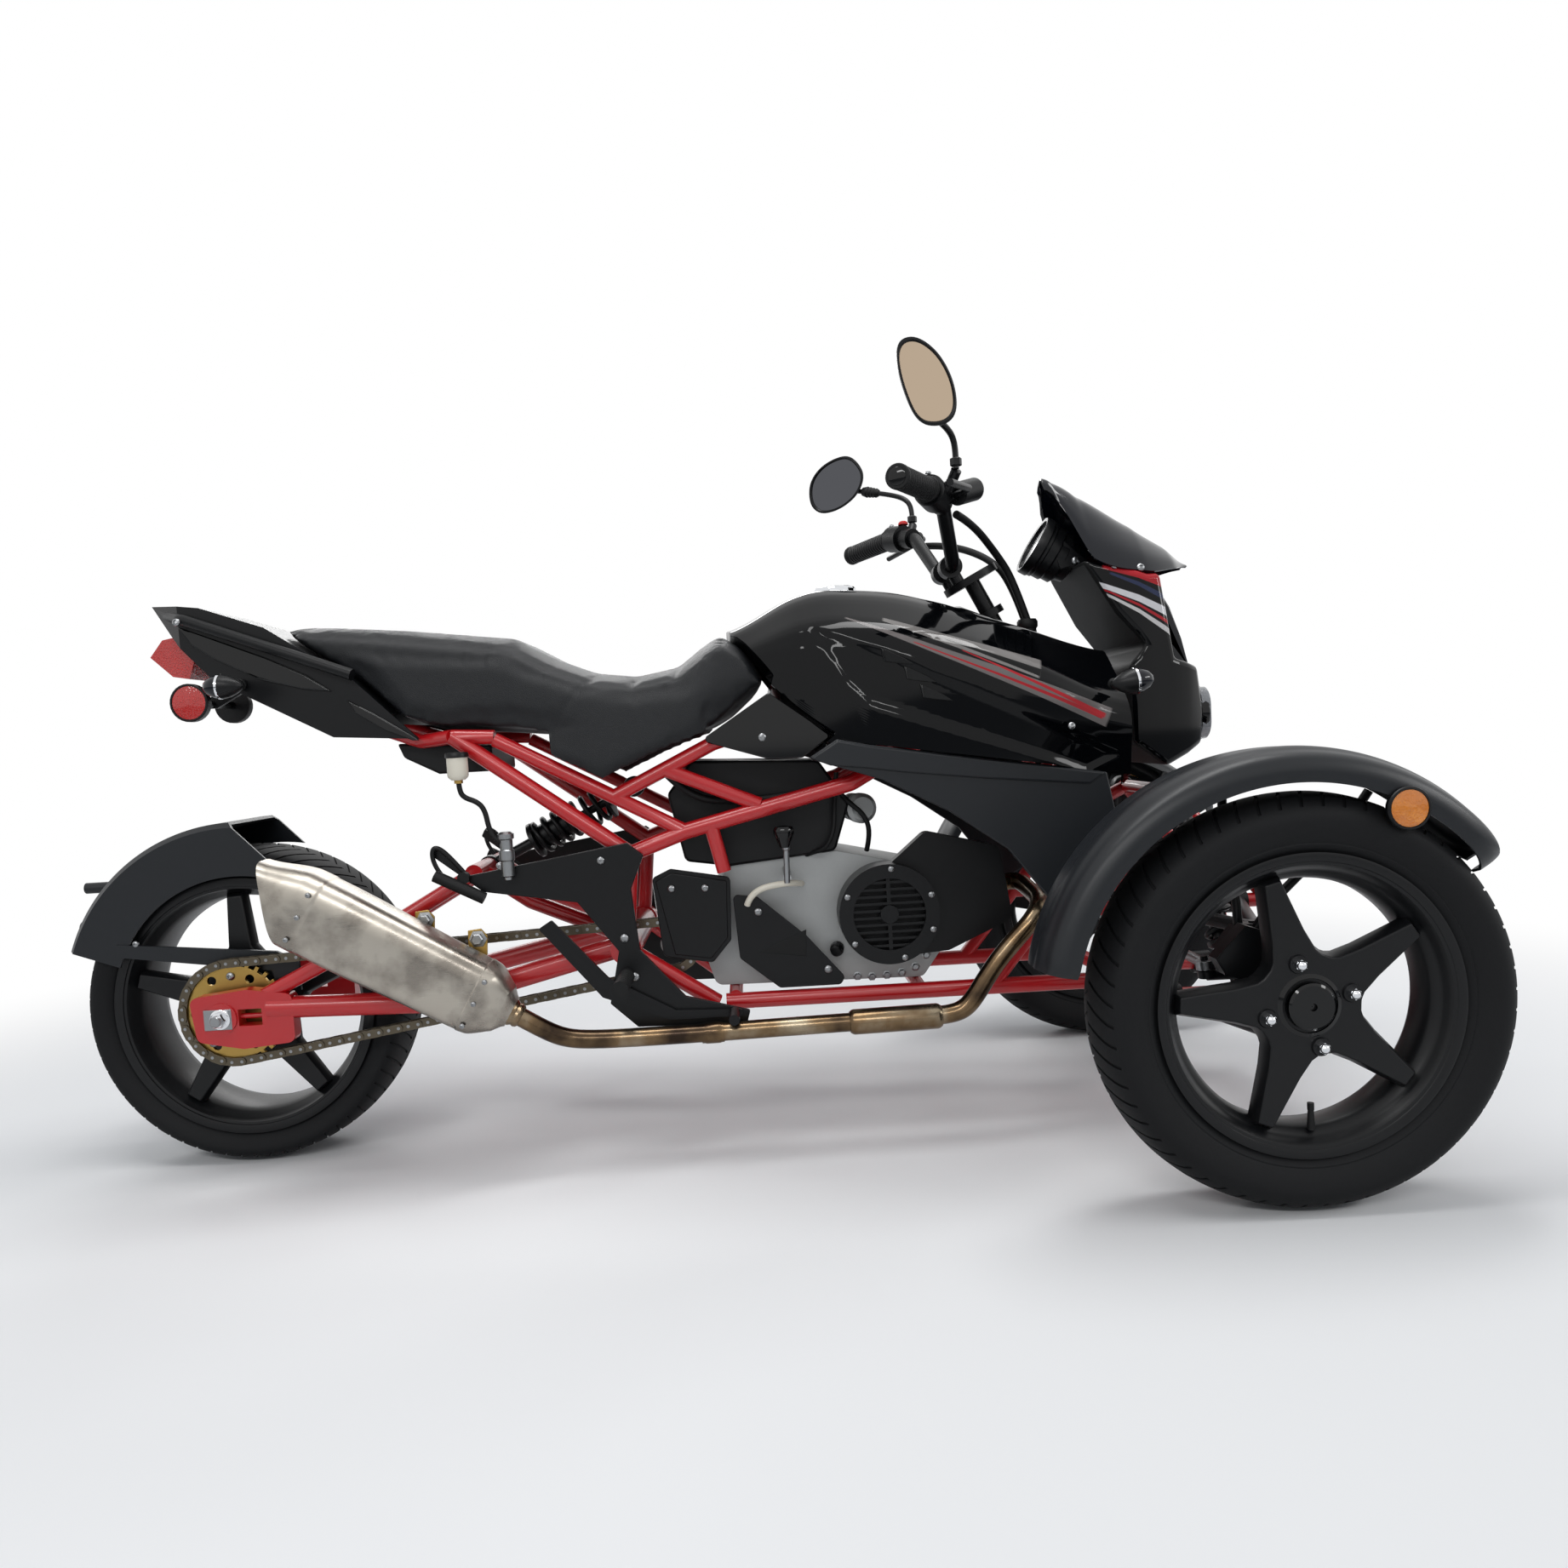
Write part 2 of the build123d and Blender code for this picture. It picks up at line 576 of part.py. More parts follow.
# Tail fairing with its grab rails
with BuildPart() as tail_fairing:
    with BuildSketch(side.offset(-130)):
        Polygon((-107, 903), (-5, 889), (98, 852), (235, 762), (331, 668), (196, 678), (10, 776), (-60, 850),
                align=None)
    extrude(amount=260)
    with BuildSketch(Plane(origin=spot(0, 0, 0))):
        Polygon((-107, 30), (-40, 85), (331, 128), (331, -128), (-40, -85), (-107, -30), align=None)
    extrude(amount=1000, mode=Mode.INTERSECT)
    with BuildPart(mode=Mode.PRIVATE) as hollow:
        add(plate([(-30, 600), (-30, 838), (94, 838), (229, 750), (288, 693), (288, 720), (345, 720),
                   (345, 600)], -130, 260))
        with BuildSketch(Plane(origin=spot(0, 0, 0))):
            Polygon((-40, 80), (340, 123), (340, -123), (-40, -80), align=None)
        extrude(amount=1000, mode=Mode.INTERSECT)
    add(hollow.part, mode=Mode.SUBTRACT)
    for hand in hands.values():
        add(tube([spot(-72, hand * 48, 884), spot(-30, hand * 92, 872), spot(240, hand * 134, 770)], 9, 30))
save(tail_fairing.part, "tail_fairing")

# Tray under the seat
with BuildPart() as undertray:
    add(plate([(283, 662.8), (292, 640), (345, 612), (430, 612), (430, 652), (340, 660)], -84, 168))
save(undertray.part, "undertray")

# Lamps: headlamp, tail lamp, signals, and round reflectors on a bracket under the tail
nose_front = 1558.0
with BuildPart() as lamps:
    with BuildSketch(across(nose_front + seat_gap)):
        with Locations((0, 640)):
            RectangleRounded(108, 84, 30)
    extrude(amount=14)
    add(plate([(-101, 820), (-80, 846), (-60.6, 849.4), (-30.4, 817.5), (-42, 783), (-68, 788)], -60, 120))
    add(plate([(-46, 738), (-30, 738), (30, 770), (30, 838 - seat_gap), (0, 838 - seat_gap),
               (0, 776), (-46, 753)], -4, 8))
    add(rod(spot(-38, -66, 745), spot(-38, 66, 745), 6))
    for hand in hands.values():
        add(rod(spot(1372, hand * 175, 690), spot(1372, hand * 222, 690), 9))
        add(rod(spot(1360, hand * 235, 690), spot(1402, hand * 235, 686), 17))
        add(rod(spot(50, hand * 98, 768), spot(50, hand * 140, 762), 8))
        add(rod(spot(30, hand * 150, 762), spot(84, hand * 150, 760), 18))
        add(rod(spot(-38, hand * 66, 745), spot(-38, hand * 78, 745), 28))
save(lamps.part, "lamps")

# Mudguards: shells that turn about a wheel's centre, from one angle over the wheel
def arc_shell(centre, start, arc, profile):
    """profile holds (radius, y) points; start and arc are in degrees, from the front over the top."""
    lean = math.radians(start)
    start_plane = Plane(origin=centre, x_dir=(math.cos(lean), 0, math.sin(lean)),
                        z_dir=(-math.sin(lean), 0, math.cos(lean)))
    with BuildPart() as piece:
        with BuildSketch(start_plane):
            Polygon(*profile, align=None)
        revolve(axis=Axis(centre, (0, -1, 0)), revolution_arc=arc)
    return piece.part


hugger_rise = 8.0            # its centre above the axle
hugger_shift = 14.0          # and forward of it
with BuildPart() as hugger:
    add(arc_shell(spot(hugger_shift, 0, rear_tyre_radius + hugger_rise), 70, 90, [
        (242, 89), (282, 89), (290, 80), (290, -80), (282, -89), (205, -89),
        (205, -85), (280, -85), (286, -78), (286, 78), (280, 85), (242, 85)]))
    add(plate([(-12, 575), (115, 442), (400, 442), (400, 640), (-12, 640)], -100, 200), mode=Mode.SUBTRACT)
    add(plate([(-180, 352), (-180, 372), (70, 348), (104, 330), (104, 284), (70, 284), (60, 318)], 85, 6))
    add(rod(spot(86, -85, 292), spot(86, -arm_y + 12 + seat_gap, 292), 6))
    for start_x, end_x, z, radius in ((-203, -273, 455, 9), (-247, -285, 388, 12)):
        add(rod(spot(start_x, 0, z), spot(end_x, 0, z), radius))
save(hugger.part, "hugger")

# Columns: radius beyond the tyre's, distance outwards from the front wheel's middle plane
fender_profile = [
    (15, 62), (31, 64), (47, 56), (54, 34), (59, 0), (55, -30), (47, -52), (32, -58),
    (32, -54), (43, -49), (51, -29), (55, 0), (50, 32), (43, 52), (30, 60), (15, 58)]
fender_x = wheelbase - 18.0  # the arch is centred a little behind the wheel
reflector_radius = 27.0


def on_fender(angle, beyond, out, hand):
    """A point on a fender's arch: degrees from the front, distance beyond the tyre, distance outwards."""
    reach = front_tyre_radius + beyond
    return spot(fender_x + reach * math.cos(math.radians(angle)), hand * (front_y + out),
                front_tyre_radius + reach * math.sin(math.radians(angle)))


for hand_name, hand in hands.items():
    with BuildPart() as fender:
        add(arc_shell(spot(fender_x, hand * front_y, front_tyre_radius), 33, 136,
                      [(front_tyre_radius + beyond, hand * out) for beyond, out in fender_profile]))
        add(rod(on_fender(62, 8, 61, hand), on_fender(62, 8, 72, hand), reflector_radius))
    save(fender.part, "fender_" + hand_name)

# Nose fairing, headlamp, windscreen and instrument pod
with BuildPart() as nose:
    with BuildSketch(side.offset(-130)):
        Polygon((1361, 886), (1456, 858), (1478, 858), (1500, 727), (1545, 714), (nose_front, 640),
                (1550, 592), (1480, 560), (1424, 600), (1424, 720), (1450, 748), (1408, 800), align=None)
    extrude(amount=260)
    with BuildSketch(Plane(origin=spot(0, 0, 0))):
        Polygon((1361, 100), (1440, 118), (1520, 95), (nose_front, 62), (nose_front, -62),
                (1520, -95), (1440, -118), (1361, -100), align=None)
    extrude(amount=1000, mode=Mode.INTERSECT)
save(nose.part, "nose_fairing")


# Columns: x, ridge z, edge z, edge half width
screen_rows = [(1328, 1032, 1012, 24), (1376, 1004, 884.5, 110), (1456, 952, 861, 112), (1556, 882, 876, 16)]
with BuildPart() as windscreen:
    add(body(screen_rows, lambda ridge, edge, half: [
        (-half, edge), (0, ridge), (half, edge),
        (half - 5, edge - 1), (0, ridge - 5), (-half + 5, edge - 1)]))
save(windscreen.part, "windscreen")

with BuildPart() as instrument_pod:
    add(plate([(1304, 903), (1332, 950), (1366, 938), (1400, 876), (1361, 887.5), (1342, 864)], -47, 94, 6))
save(instrument_pod.part, "instrument_pod")

# Foot brackets, the front sprocket's cover and the engine's side mount
foot_points = [(352, 505), (400, 458), (640, 494), (664, 474), (642, 424), (650, 330), (715, 255), (812, 228),
               (806, 208), (640, 212), (600, 250), (618, 330), (560, 408), (420, 432), (345, 492)]
foot_near = trellis_y + frame_tube_radius + seat_gap
foot_plate = 8.0
with BuildPart() as brackets:
    for near in (foot_near, -foot_near - foot_plate):
        add(plate(foot_points, near, foot_plate, 3))
    add(plate([(671, 433), (700, 446), (792, 428), (788, 330), (758, 296), (682, 310)], 114, 6, 8))
    add(rod(spot(772, -75 - seat_gap, 405), spot(772, -116, 405), 8))
    add(plate([(794, 401), (832, 395), (905, 330), (962, 262), (955, 250), (860, 250), (800, 300)],
              114, 6, 8))
    add(rod(spot(850, -75 - seat_gap, 300), spot(850, -116, 300), 8))
save(brackets.part, "brackets")

# Foot controls: rests, brake pedal with its master cylinder and reservoir, gear lever
peg_near = foot_near + foot_plate + seat_gap
with BuildPart() as foot_controls:
    for hand in hands.values():
        add(rod(spot(628, hand * peg_near, 292), spot(628, hand * (peg_near + 92), 292), 11))
        add(rod(spot(394, hand * peg_near, 456), spot(394, hand * (peg_near + 12), 456), 9))
        add(rod(spot(352, hand * (peg_near + 12), 462), spot(424, hand * (peg_near + 12), 424), 9))
    add(plate([(500, 372), (520, 384), (600, 292), (700, 236), (800, 232), (800, 222), (690, 222),
               (590, 262)], peg_near, 6, 3))
    add(rod(spot(788, -peg_near, 227), spot(788, -peg_near - 50, 227), 8))
    add(rod(spot(462, -peg_near - 10, 452), spot(462, -peg_near - 10, 528), 10))
    add(rod(spot(398, -peg_near - 10, 602), spot(398, -peg_near - 10, 642), 17))
    add(tube([spot(462, -peg_near - 10, 500), spot(440, -peg_near - 10, 520), spot(432, -peg_near - 10, 565),
              spot(400, -peg_near - 10, 582), spot(398, -peg_near - 10, 606)], 4, 10))
    add(tube([spot(880, -76, 430), spot(884, -120, 434), spot(878, -168, 470)], 5, 20))
    with Locations(spot(877, -170, 490)):
        Sphere(16)
    add(rod(spot(878, -168, 466), spot(877, -170, 482), 8))
save(foot_controls.part, "foot_controls")

# Wishbones: upper and lower arms, each two tubes between frame sleeves and the kingpin's eye
# Columns: height, sleeve x towards the rear, sleeve x towards the front, frame tube radius
arm_rows = [
    (lower_arm_z, wheelbase - 45, wheelbase + 95, frame_tube_radius),
    (upper_arm_z, wheelbase - 75, wheelbase + 60, rail_tube_radius),
]
shock_foot_y = 250.0
with BuildPart() as wishbones:
    for hand in hands.values():
        for height, rear_x, front_x, tube_radius in arm_rows:
            eye = on_kingpin(hand, height)
            for x in (rear_x, front_x):
                add(rod(spot(x, hand * (cradle_y + tube_radius + 4), height),
                        eye + (spot(x, hand * cradle_y, height) - eye).normalized() * 11, arm_tube_radius))
                add(collar(spot(x, hand * cradle_y, height), (1, 0, 0), tube_radius + 7,
                           tube_radius + running_gap, 30))
                add(collar(spot(x, hand * cradle_y, height), (1, 0, 0), tube_radius + running_gap, 0, 40),
                    mode=Mode.SUBTRACT)
            add(collar(eye, caster_axis, arm_eye_radius, 0, 20))
            add(collar(eye, caster_axis, kingpin_radius + running_gap, 0, 30), mode=Mode.SUBTRACT)
        add(rod(spot(wheelbase - 12, hand * shock_foot_y, lower_arm_z),
                spot(wheelbase + 44, hand * shock_foot_y, lower_arm_z), 8))
save(wishbones.part, "wishbones")

# Shocks: one on each lower wishbone and one between swingarm and frame
shock_top_x, shock_top_z = wheelbase - 30, 520.0
with BuildPart() as shocks:
    brace_eye = spot(395, 0, 455)
    cross_eye = spot(640, 0, 572)
    run = (cross_eye - brace_eye).normalized()
    length = (cross_eye - brace_eye).length
    add(rod(brace_eye, cross_eye, 10))
    add(rod(brace_eye + run * 34, brace_eye + run * (length * 0.78), 25))
    add(collar(brace_eye, (0, 1, 0), 23, 0, 30))
    add(collar(cross_eye, (0, 1, 0), 19, 0, 30))
    add(collar(brace_eye, (0, 1, 0), 14 + running_gap, 0, 60), mode=Mode.SUBTRACT)
    add(collar(cross_eye, (0, 1, 0), rail_tube_radius + running_gap, 0, 60), mode=Mode.SUBTRACT)
    for hand in hands.values():
        foot = spot(wheelbase + 16, hand * shock_foot_y, lower_arm_z)
        top = spot(shock_top_x, hand * 122, shock_top_z)
        run = (top - foot).normalized()
        length = (top - foot).length
        add(collar(foot, (1, 0, 0), 16, 8 + running_gap, 20))
        add(collar(top, (0, 1, 0), 19, rail_tube_radius + running_gap, 16))
        add(rod(foot + run * 12, foot + run * (length * 0.62), 11))
        add(rod(foot + run * (length * 0.2), foot + run * (length * 0.8), 24))
        add(rod(foot + run * (length * 0.7), top - run * 14, 15))
        add(collar(top, (0, 1, 0), rail_tube_radius + running_gap, 0, 40), mode=Mode.SUBTRACT)
        add(collar(foot, (1, 0, 0), 8 + running_gap, 0, 60), mode=Mode.SUBTRACT)
save(shocks.part, "shocks")

# Knuckles: kingpin, stub axle, steering arm, fender stays and brake caliper
# Columns: outline as x from the wheel's axis and z above it, nearest and farthest
# distance from the middle plane
caliper_rows = [
    ([(-8, 18), (-8, 44), (-25, 48), (-51, 88), (-75, 58), (-35, 12)], 346, 374),
    ([(-29, 86), (-51, 94), (-91, 52), (-79, 30)], 372, 396),
    ([(-30, 84), (-53, 92), (-89, 52), (-78, 31), (-53, 20), (-19, 56)], 386, 397),
]
# Columns: the angle at which a stay meets the fender's inner lip, the height where the stay turns outwards
stay_rows = [(98, 500), (59, 470)]
stay_root_x = wheelbase - 41.0
stay_root_z = front_tyre_radius + 50.0
for hand_name, hand in hands.items():
    hub_centre = spot(wheelbase, hand * kingpin_y, front_tyre_radius)
    arm_end = spot(wheelbase - steering_arm, hand * kingpin_y, tie_rod_z)
    arm_root = on_kingpin(hand, tie_rod_z - 15)
    disc_y = front_y - front_disc_inset
    with BuildPart() as knuckle:
        add(rod(on_kingpin(hand, lower_arm_z + 16), on_kingpin(hand, upper_arm_z - 16), 15))
        add(rod(on_kingpin(hand, lower_arm_z - 12), on_kingpin(hand, upper_arm_z + 12), kingpin_radius))
        add(rod(hub_centre, spot(wheelbase, hand * (front_y + 20), front_tyre_radius), front_stub_radius))
        add(rod(hub_centre, spot(wheelbase, hand * (disc_y - 3), front_tyre_radius), 22))
        add(rod(arm_root, arm_end - caster_axis * 15, 8))
        add(collar(arm_end - caster_axis * 13, caster_axis, 12, 0, 10))
        add(rod(arm_end - caster_axis * 13, arm_end + caster_axis * 12, tie_pin_radius))
        for points, y_near, y_far in caliper_rows:
            outline = [(wheelbase + x, front_tyre_radius + z) for x, z in points]
            add(plate(outline, y_near if hand < 0 else -y_far, y_far - y_near))
        for angle, turn_z in stay_rows:
            lip = on_fender(angle, 32, -58 - 6 - seat_gap, hand)
            lip_x = lip.X + rear_axle_to_origin
            add(tube([spot(stay_root_x, hand * 355, stay_root_z),
                      spot(stay_root_x + (lip_x - stay_root_x) * 0.25, hand * 358, stay_root_z + 67),
                      spot(stay_root_x + (lip_x - stay_root_x) * 0.8, hand * 347, turn_z), lip], 6, 20))
    save(knuckle.part, "knuckle_" + hand_name)

# Steering column with its yoke and the pitman arm at its foot
yoke_z = 876.0
column_foot_z = tie_rod_z + pitman_arm * math.sin(math.radians(rake))
back_axis = Vector(-math.cos(math.radians(rake)), 0, -math.sin(math.radians(rake)))
foot = on_column(column_foot_z)
pitman_end = foot + back_axis * pitman_arm
with BuildPart() as steering_column:
    add(rod(foot + rake_axis * 14, on_column(880), column_radius))
    add(rod(foot + rake_axis * 20, pitman_end + rake_axis * 20, 9))
    add(collar(pitman_end + rake_axis * 20, rake_axis, 13, 0, 14))
    add(rod(pitman_end + rake_axis * 14, pitman_end - rake_axis * 15, tie_pin_radius))
    add(collar(on_column(820), rake_axis, 24, 0, 12))
    add(collar(on_column(yoke_z), rake_axis, 46, 0, 12))
save(steering_column.part, "steering_column")

# Handlebar with the clamp that holds it
bar_middle = on_column(906) + back_axis * 26
with BuildPart() as handlebar:
    half_points = [(bar_middle.X, 0.0, bar_middle.Z), (bar_middle.X, 60.0, bar_middle.Z),
                   (spot(1142, 0, 0).X, 140.0, 972.0), (spot(1112, 0, 0).X, 200.0, 982.0),
                   (spot(1052, 0, 0).X, 318.0, 976.5)]
    for hand in hands.values():
        add(tube([Vector(x, hand * y, z) for x, y, z in half_points], bar_radius, 34))
    for y in (-32, 32):
        clamp = Vector(bar_middle.X, y, bar_middle.Z)
        add(collar(clamp, (0, 1, 0), 18, 0, 24))
        riser = (906 - yoke_z) / math.cos(math.radians(rake)) - 6 - seat_gap
        add(rod(clamp, clamp - rake_axis * riser, 10))
save(handlebar.part, "handlebar")

with BuildPart() as grips:
    for hand in hands.values():
        inner = spot(1109, hand * 206, 981.7)
        outer = spot(1049, hand * 324, 976.3)
        along = (outer - inner).normalized()
        add(rod(inner, outer, grip_radius))
        add(rod(inner - along * 3, outer - along * 5.0, bar_radius + seat_gap), mode=Mode.SUBTRACT)
        add(rod(inner - along * 1, inner + along * 8, 22))
        add(rod(inner - along * 3, outer - along * 5.0, bar_radius + seat_gap), mode=Mode.SUBTRACT)
save(grips.part, "grips")

# Switch housings, levers and the front brake's reservoir
with BuildPart() as controls:
    for hand in hands.values():
        inner = spot(1112, hand * 200, 982)
        outer = spot(1128, hand * 168, 977)
        add(rod(inner, outer, 23))
        add(rod(outer, spot(1140, hand * 144, 972.5), 17))
        add(tube([spot(1150, hand * 160, 978), spot(1170, hand * 205, 980), spot(1120, hand * 318, 966)],
                 5, 22))
        add(rod(spot(1138, hand * 152, 974), spot(1156, hand * 172, 979), 9))
        add(rod(spot(1142, hand * 190, 984), spot(1151, hand * 208, 1006), 8))
        add(rod(inner, spot(1142, hand * 190, 985), 8))
    add(rod(spot(1158, -172, 980), spot(1190, -140, 992), 17))
    for hand in hands.values():
        add(tube([Vector(x, hand * y, z) for x, y, z in half_points], bar_radius + seat_gap, 34),
            mode=Mode.SUBTRACT)
save(controls.part, "controls")

# Mirrors: stem and a leaf-shaped head on each side
# Columns: hand, head centre, glass direction, top direction, half width, half height, stem's end in the head
mirror_rows = [
    (-1, (1100, -296, 1106), (0.28, -0.95, -0.12), (-0.1, 0.1, 1.0), 45, 60, (0, -34)),
    (1, (1024, 292, 1104), (-0.5, -0.85, -0.08), (-0.1, 0.0, 1.0), 62, 50, (34, -18)),
]
with BuildPart() as mirrors:
    for hand, centre, facing, top, half_width, half_height, neck in mirror_rows:
        middle = spot(*centre)
        head_plane = Plane(origin=middle, z_dir=facing, x_dir=Vector(*top).cross(Vector(*facing)))
        base = spot(1151, hand * 208, 1011)
        with BuildSketch(head_plane):
            Ellipse(half_width, half_height)
        with BuildSketch(head_plane.offset(-22)):
            Ellipse(half_width * 0.62, half_height * 0.66)
        loft()
        lower = middle - head_plane.z_dir * 12 + head_plane.x_dir * neck[0] + head_plane.y_dir * neck[1]
        add(tube([base, base + Vector(0, 0, 34), lower], mirror_stem_radius, 16))
save(mirrors.part, "mirrors")

# Cables from both controls, gathered ahead of the column and led down into the tank's slot
with BuildPart() as control_cables:
    for hand in hands.values():
        add(cord([spot(1162, hand * 138, 957), spot(1194, hand * 96, 950), spot(1244, hand * 26, 915),
                  spot(1276, hand * 7, 872), spot(1298, hand * 7, 800)], 6))
save(control_cables.part, "control_cables")

# Tie rods: an eye on the knuckle's arm and an open eye round the pitman's pin
for hand_name, hand in hands.items():
    outer = spot(wheelbase - steering_arm, hand * kingpin_y, tie_rod_z)
    inner = pitman_end - rake_axis * hand * 5.5
    along = (inner - outer).normalized()
    with BuildPart() as tie_rod:
        add(rod(outer + along * 10, inner - along * 15, tie_rod_radius))
        add(collar(outer, caster_axis, tie_eye_radius, 0, 12))
        add(collar(inner, rake_axis, 17, 0, 7))
        add(collar(outer, caster_axis, tie_pin_radius + running_gap, 0, 30), mode=Mode.SUBTRACT)
        add(collar(inner, rake_axis, tie_pin_radius + 6, 0, 30), mode=Mode.SUBTRACT)
    save(tie_rod.part, "tie_rod_" + hand_name)
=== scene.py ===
import bpy
import bmesh
import json
import math
from mathutils import Matrix, Vector

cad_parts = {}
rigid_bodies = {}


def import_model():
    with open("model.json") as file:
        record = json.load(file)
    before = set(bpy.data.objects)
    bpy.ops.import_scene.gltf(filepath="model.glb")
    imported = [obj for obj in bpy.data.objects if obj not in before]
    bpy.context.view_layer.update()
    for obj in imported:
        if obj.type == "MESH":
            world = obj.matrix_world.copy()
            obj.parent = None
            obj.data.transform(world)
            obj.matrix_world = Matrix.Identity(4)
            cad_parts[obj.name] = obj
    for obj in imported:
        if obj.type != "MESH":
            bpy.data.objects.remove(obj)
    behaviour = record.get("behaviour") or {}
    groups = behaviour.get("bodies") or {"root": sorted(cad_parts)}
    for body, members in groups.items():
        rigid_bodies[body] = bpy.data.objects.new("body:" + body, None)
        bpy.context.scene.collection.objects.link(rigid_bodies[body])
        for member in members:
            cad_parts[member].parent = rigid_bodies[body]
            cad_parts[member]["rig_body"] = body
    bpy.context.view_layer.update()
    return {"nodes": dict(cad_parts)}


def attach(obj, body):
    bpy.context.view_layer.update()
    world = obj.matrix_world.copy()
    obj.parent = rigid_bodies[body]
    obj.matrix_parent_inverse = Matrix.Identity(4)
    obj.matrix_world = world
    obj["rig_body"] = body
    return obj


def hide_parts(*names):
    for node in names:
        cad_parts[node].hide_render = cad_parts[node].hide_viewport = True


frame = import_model()
print("frame loaded")

scene = bpy.context.scene

# Places are given as on the drawing: millimetres forward of the rear axle, to the left, and above the ground
rearAxleToOrigin = 749.0


def at(x, y, z):
    return Vector(((x - rearAxleToOrigin) / 1000, y / 1000, z / 1000))


# colours and nodes
def toLinear(hexColour):
    parts = [int(hexColour[i:i + 2], 16) / 255 for i in (1, 3, 5)]
    return tuple(c / 12.92 if c <= 0.04045 else ((c + 0.055) / 1.055) ** 2.4 for c in parts) + (1.0,)


def addNode(tree, kind, settings=None, links=None):
    # settings are node attributes or input values, links go from an input name to another node's output
    node = tree.nodes.new(kind)
    for key, value in (settings or {}).items():
        if isinstance(key, int) or key in node.inputs:
            node.inputs[key].default_value = value
        else:
            setattr(node, key, value)
    for key, output in (links or {}).items():
        tree.links.new(output, node.inputs[key])
    return node


def newSurface(name, hexColour, **settings):
    material = bpy.data.materials.new(name)
    material.use_nodes = True
    tree = material.node_tree
    shader = tree.nodes["Principled BSDF"]
    shader.inputs["Base Color"].default_value = toLinear(hexColour)
    for key, value in settings.items():
        shader.inputs[key].default_value = value
    material.diffuse_color = toLinear(hexColour)
    return material, tree, shader


def addTexture(tree, shader, scale, low, high, bump=0.0, depth=0.0002, stretch=(1, 1, 1), detail=4.0):
    # noise on Object coordinates: roughness runs from low to high, and the same noise dents the surface
    place = addNode(tree, "ShaderNodeTexCoord")
    turned = addNode(tree, "ShaderNodeMapping", {"Scale": stretch}, {"Vector": place.outputs["Object"]})
    noise = addNode(tree, "ShaderNodeTexNoise", {"Scale": scale, "Detail": detail},
                    {"Vector": turned.outputs["Vector"]})
    spread = addNode(tree, "ShaderNodeMapRange", {"To Min": low, "To Max": high},
                     {"Value": noise.outputs["Fac"]})
    tree.links.new(spread.outputs["Result"], shader.inputs["Roughness"])
    if bump > 0:
        dent = addNode(tree, "ShaderNodeBump", {"Strength": bump, "Distance": depth},
                       {"Height": noise.outputs["Fac"]})
        tree.links.new(dent.outputs["Normal"], shader.inputs["Normal"])
    return noise


materials = {}


def tyreRubber():
    # vulcanised rubber: near black, dull, faintly dusty
    material, tree, shader = newSurface("vulcanisedRubber", "#0f1012", **{"Specular IOR Level": 0.2})
    addTexture(tree, shader, 900, 0.55, 0.8, 0.25, 0.0003)
    return material


def satinEnamel(name, hexColour, low=0.3, high=0.42, level=0.4):
    # baked satin enamel on steel or cast aluminium: soft highlight, faint orange peel
    material, tree, shader = newSurface(name, hexColour, **{"Specular IOR Level": level})
    addTexture(tree, shader, 350, low, high, 0.08, 0.0002)
    return material


def glossLacquer(name, hexColour, roughness=0.06):
    # lacquered ABS: deep black under a clear coat, with mirror-like edges
    return newSurface(name, hexColour, **{"Roughness": roughness, "Specular IOR Level": 0.36})[0]


def frameEnamel():
    # red stove enamel over welded tube: bright, glossy, a little orange peel
    material, tree, shader = newSurface("redStoveEnamel", "#b50f17",
                                        **{"Coat Weight": 0.4, "Coat Roughness": 0.12})
    addTexture(tree, shader, 220, 0.26, 0.38, 0.1, 0.0003)
    return material


def mouldedPlastic(name, hexColour, low=0.42, high=0.58, grain=1600, level=0.4):
    # moulded ABS or polypropylene with a fine spark-eroded grain
    material, tree, shader = newSurface(name, hexColour, **{"Specular IOR Level": level})
    addTexture(tree, shader, grain, low, high, 0.18, 0.0002)
    return material


def castAluminium(name, hexColour):
    # sand-cast aluminium: pale grey, rough, fine pits
    material, tree, shader = newSurface(name, hexColour, **{"Metallic": 0.85})
    addTexture(tree, shader, 700, 0.42, 0.6, 0.35, 0.0004)
    return material


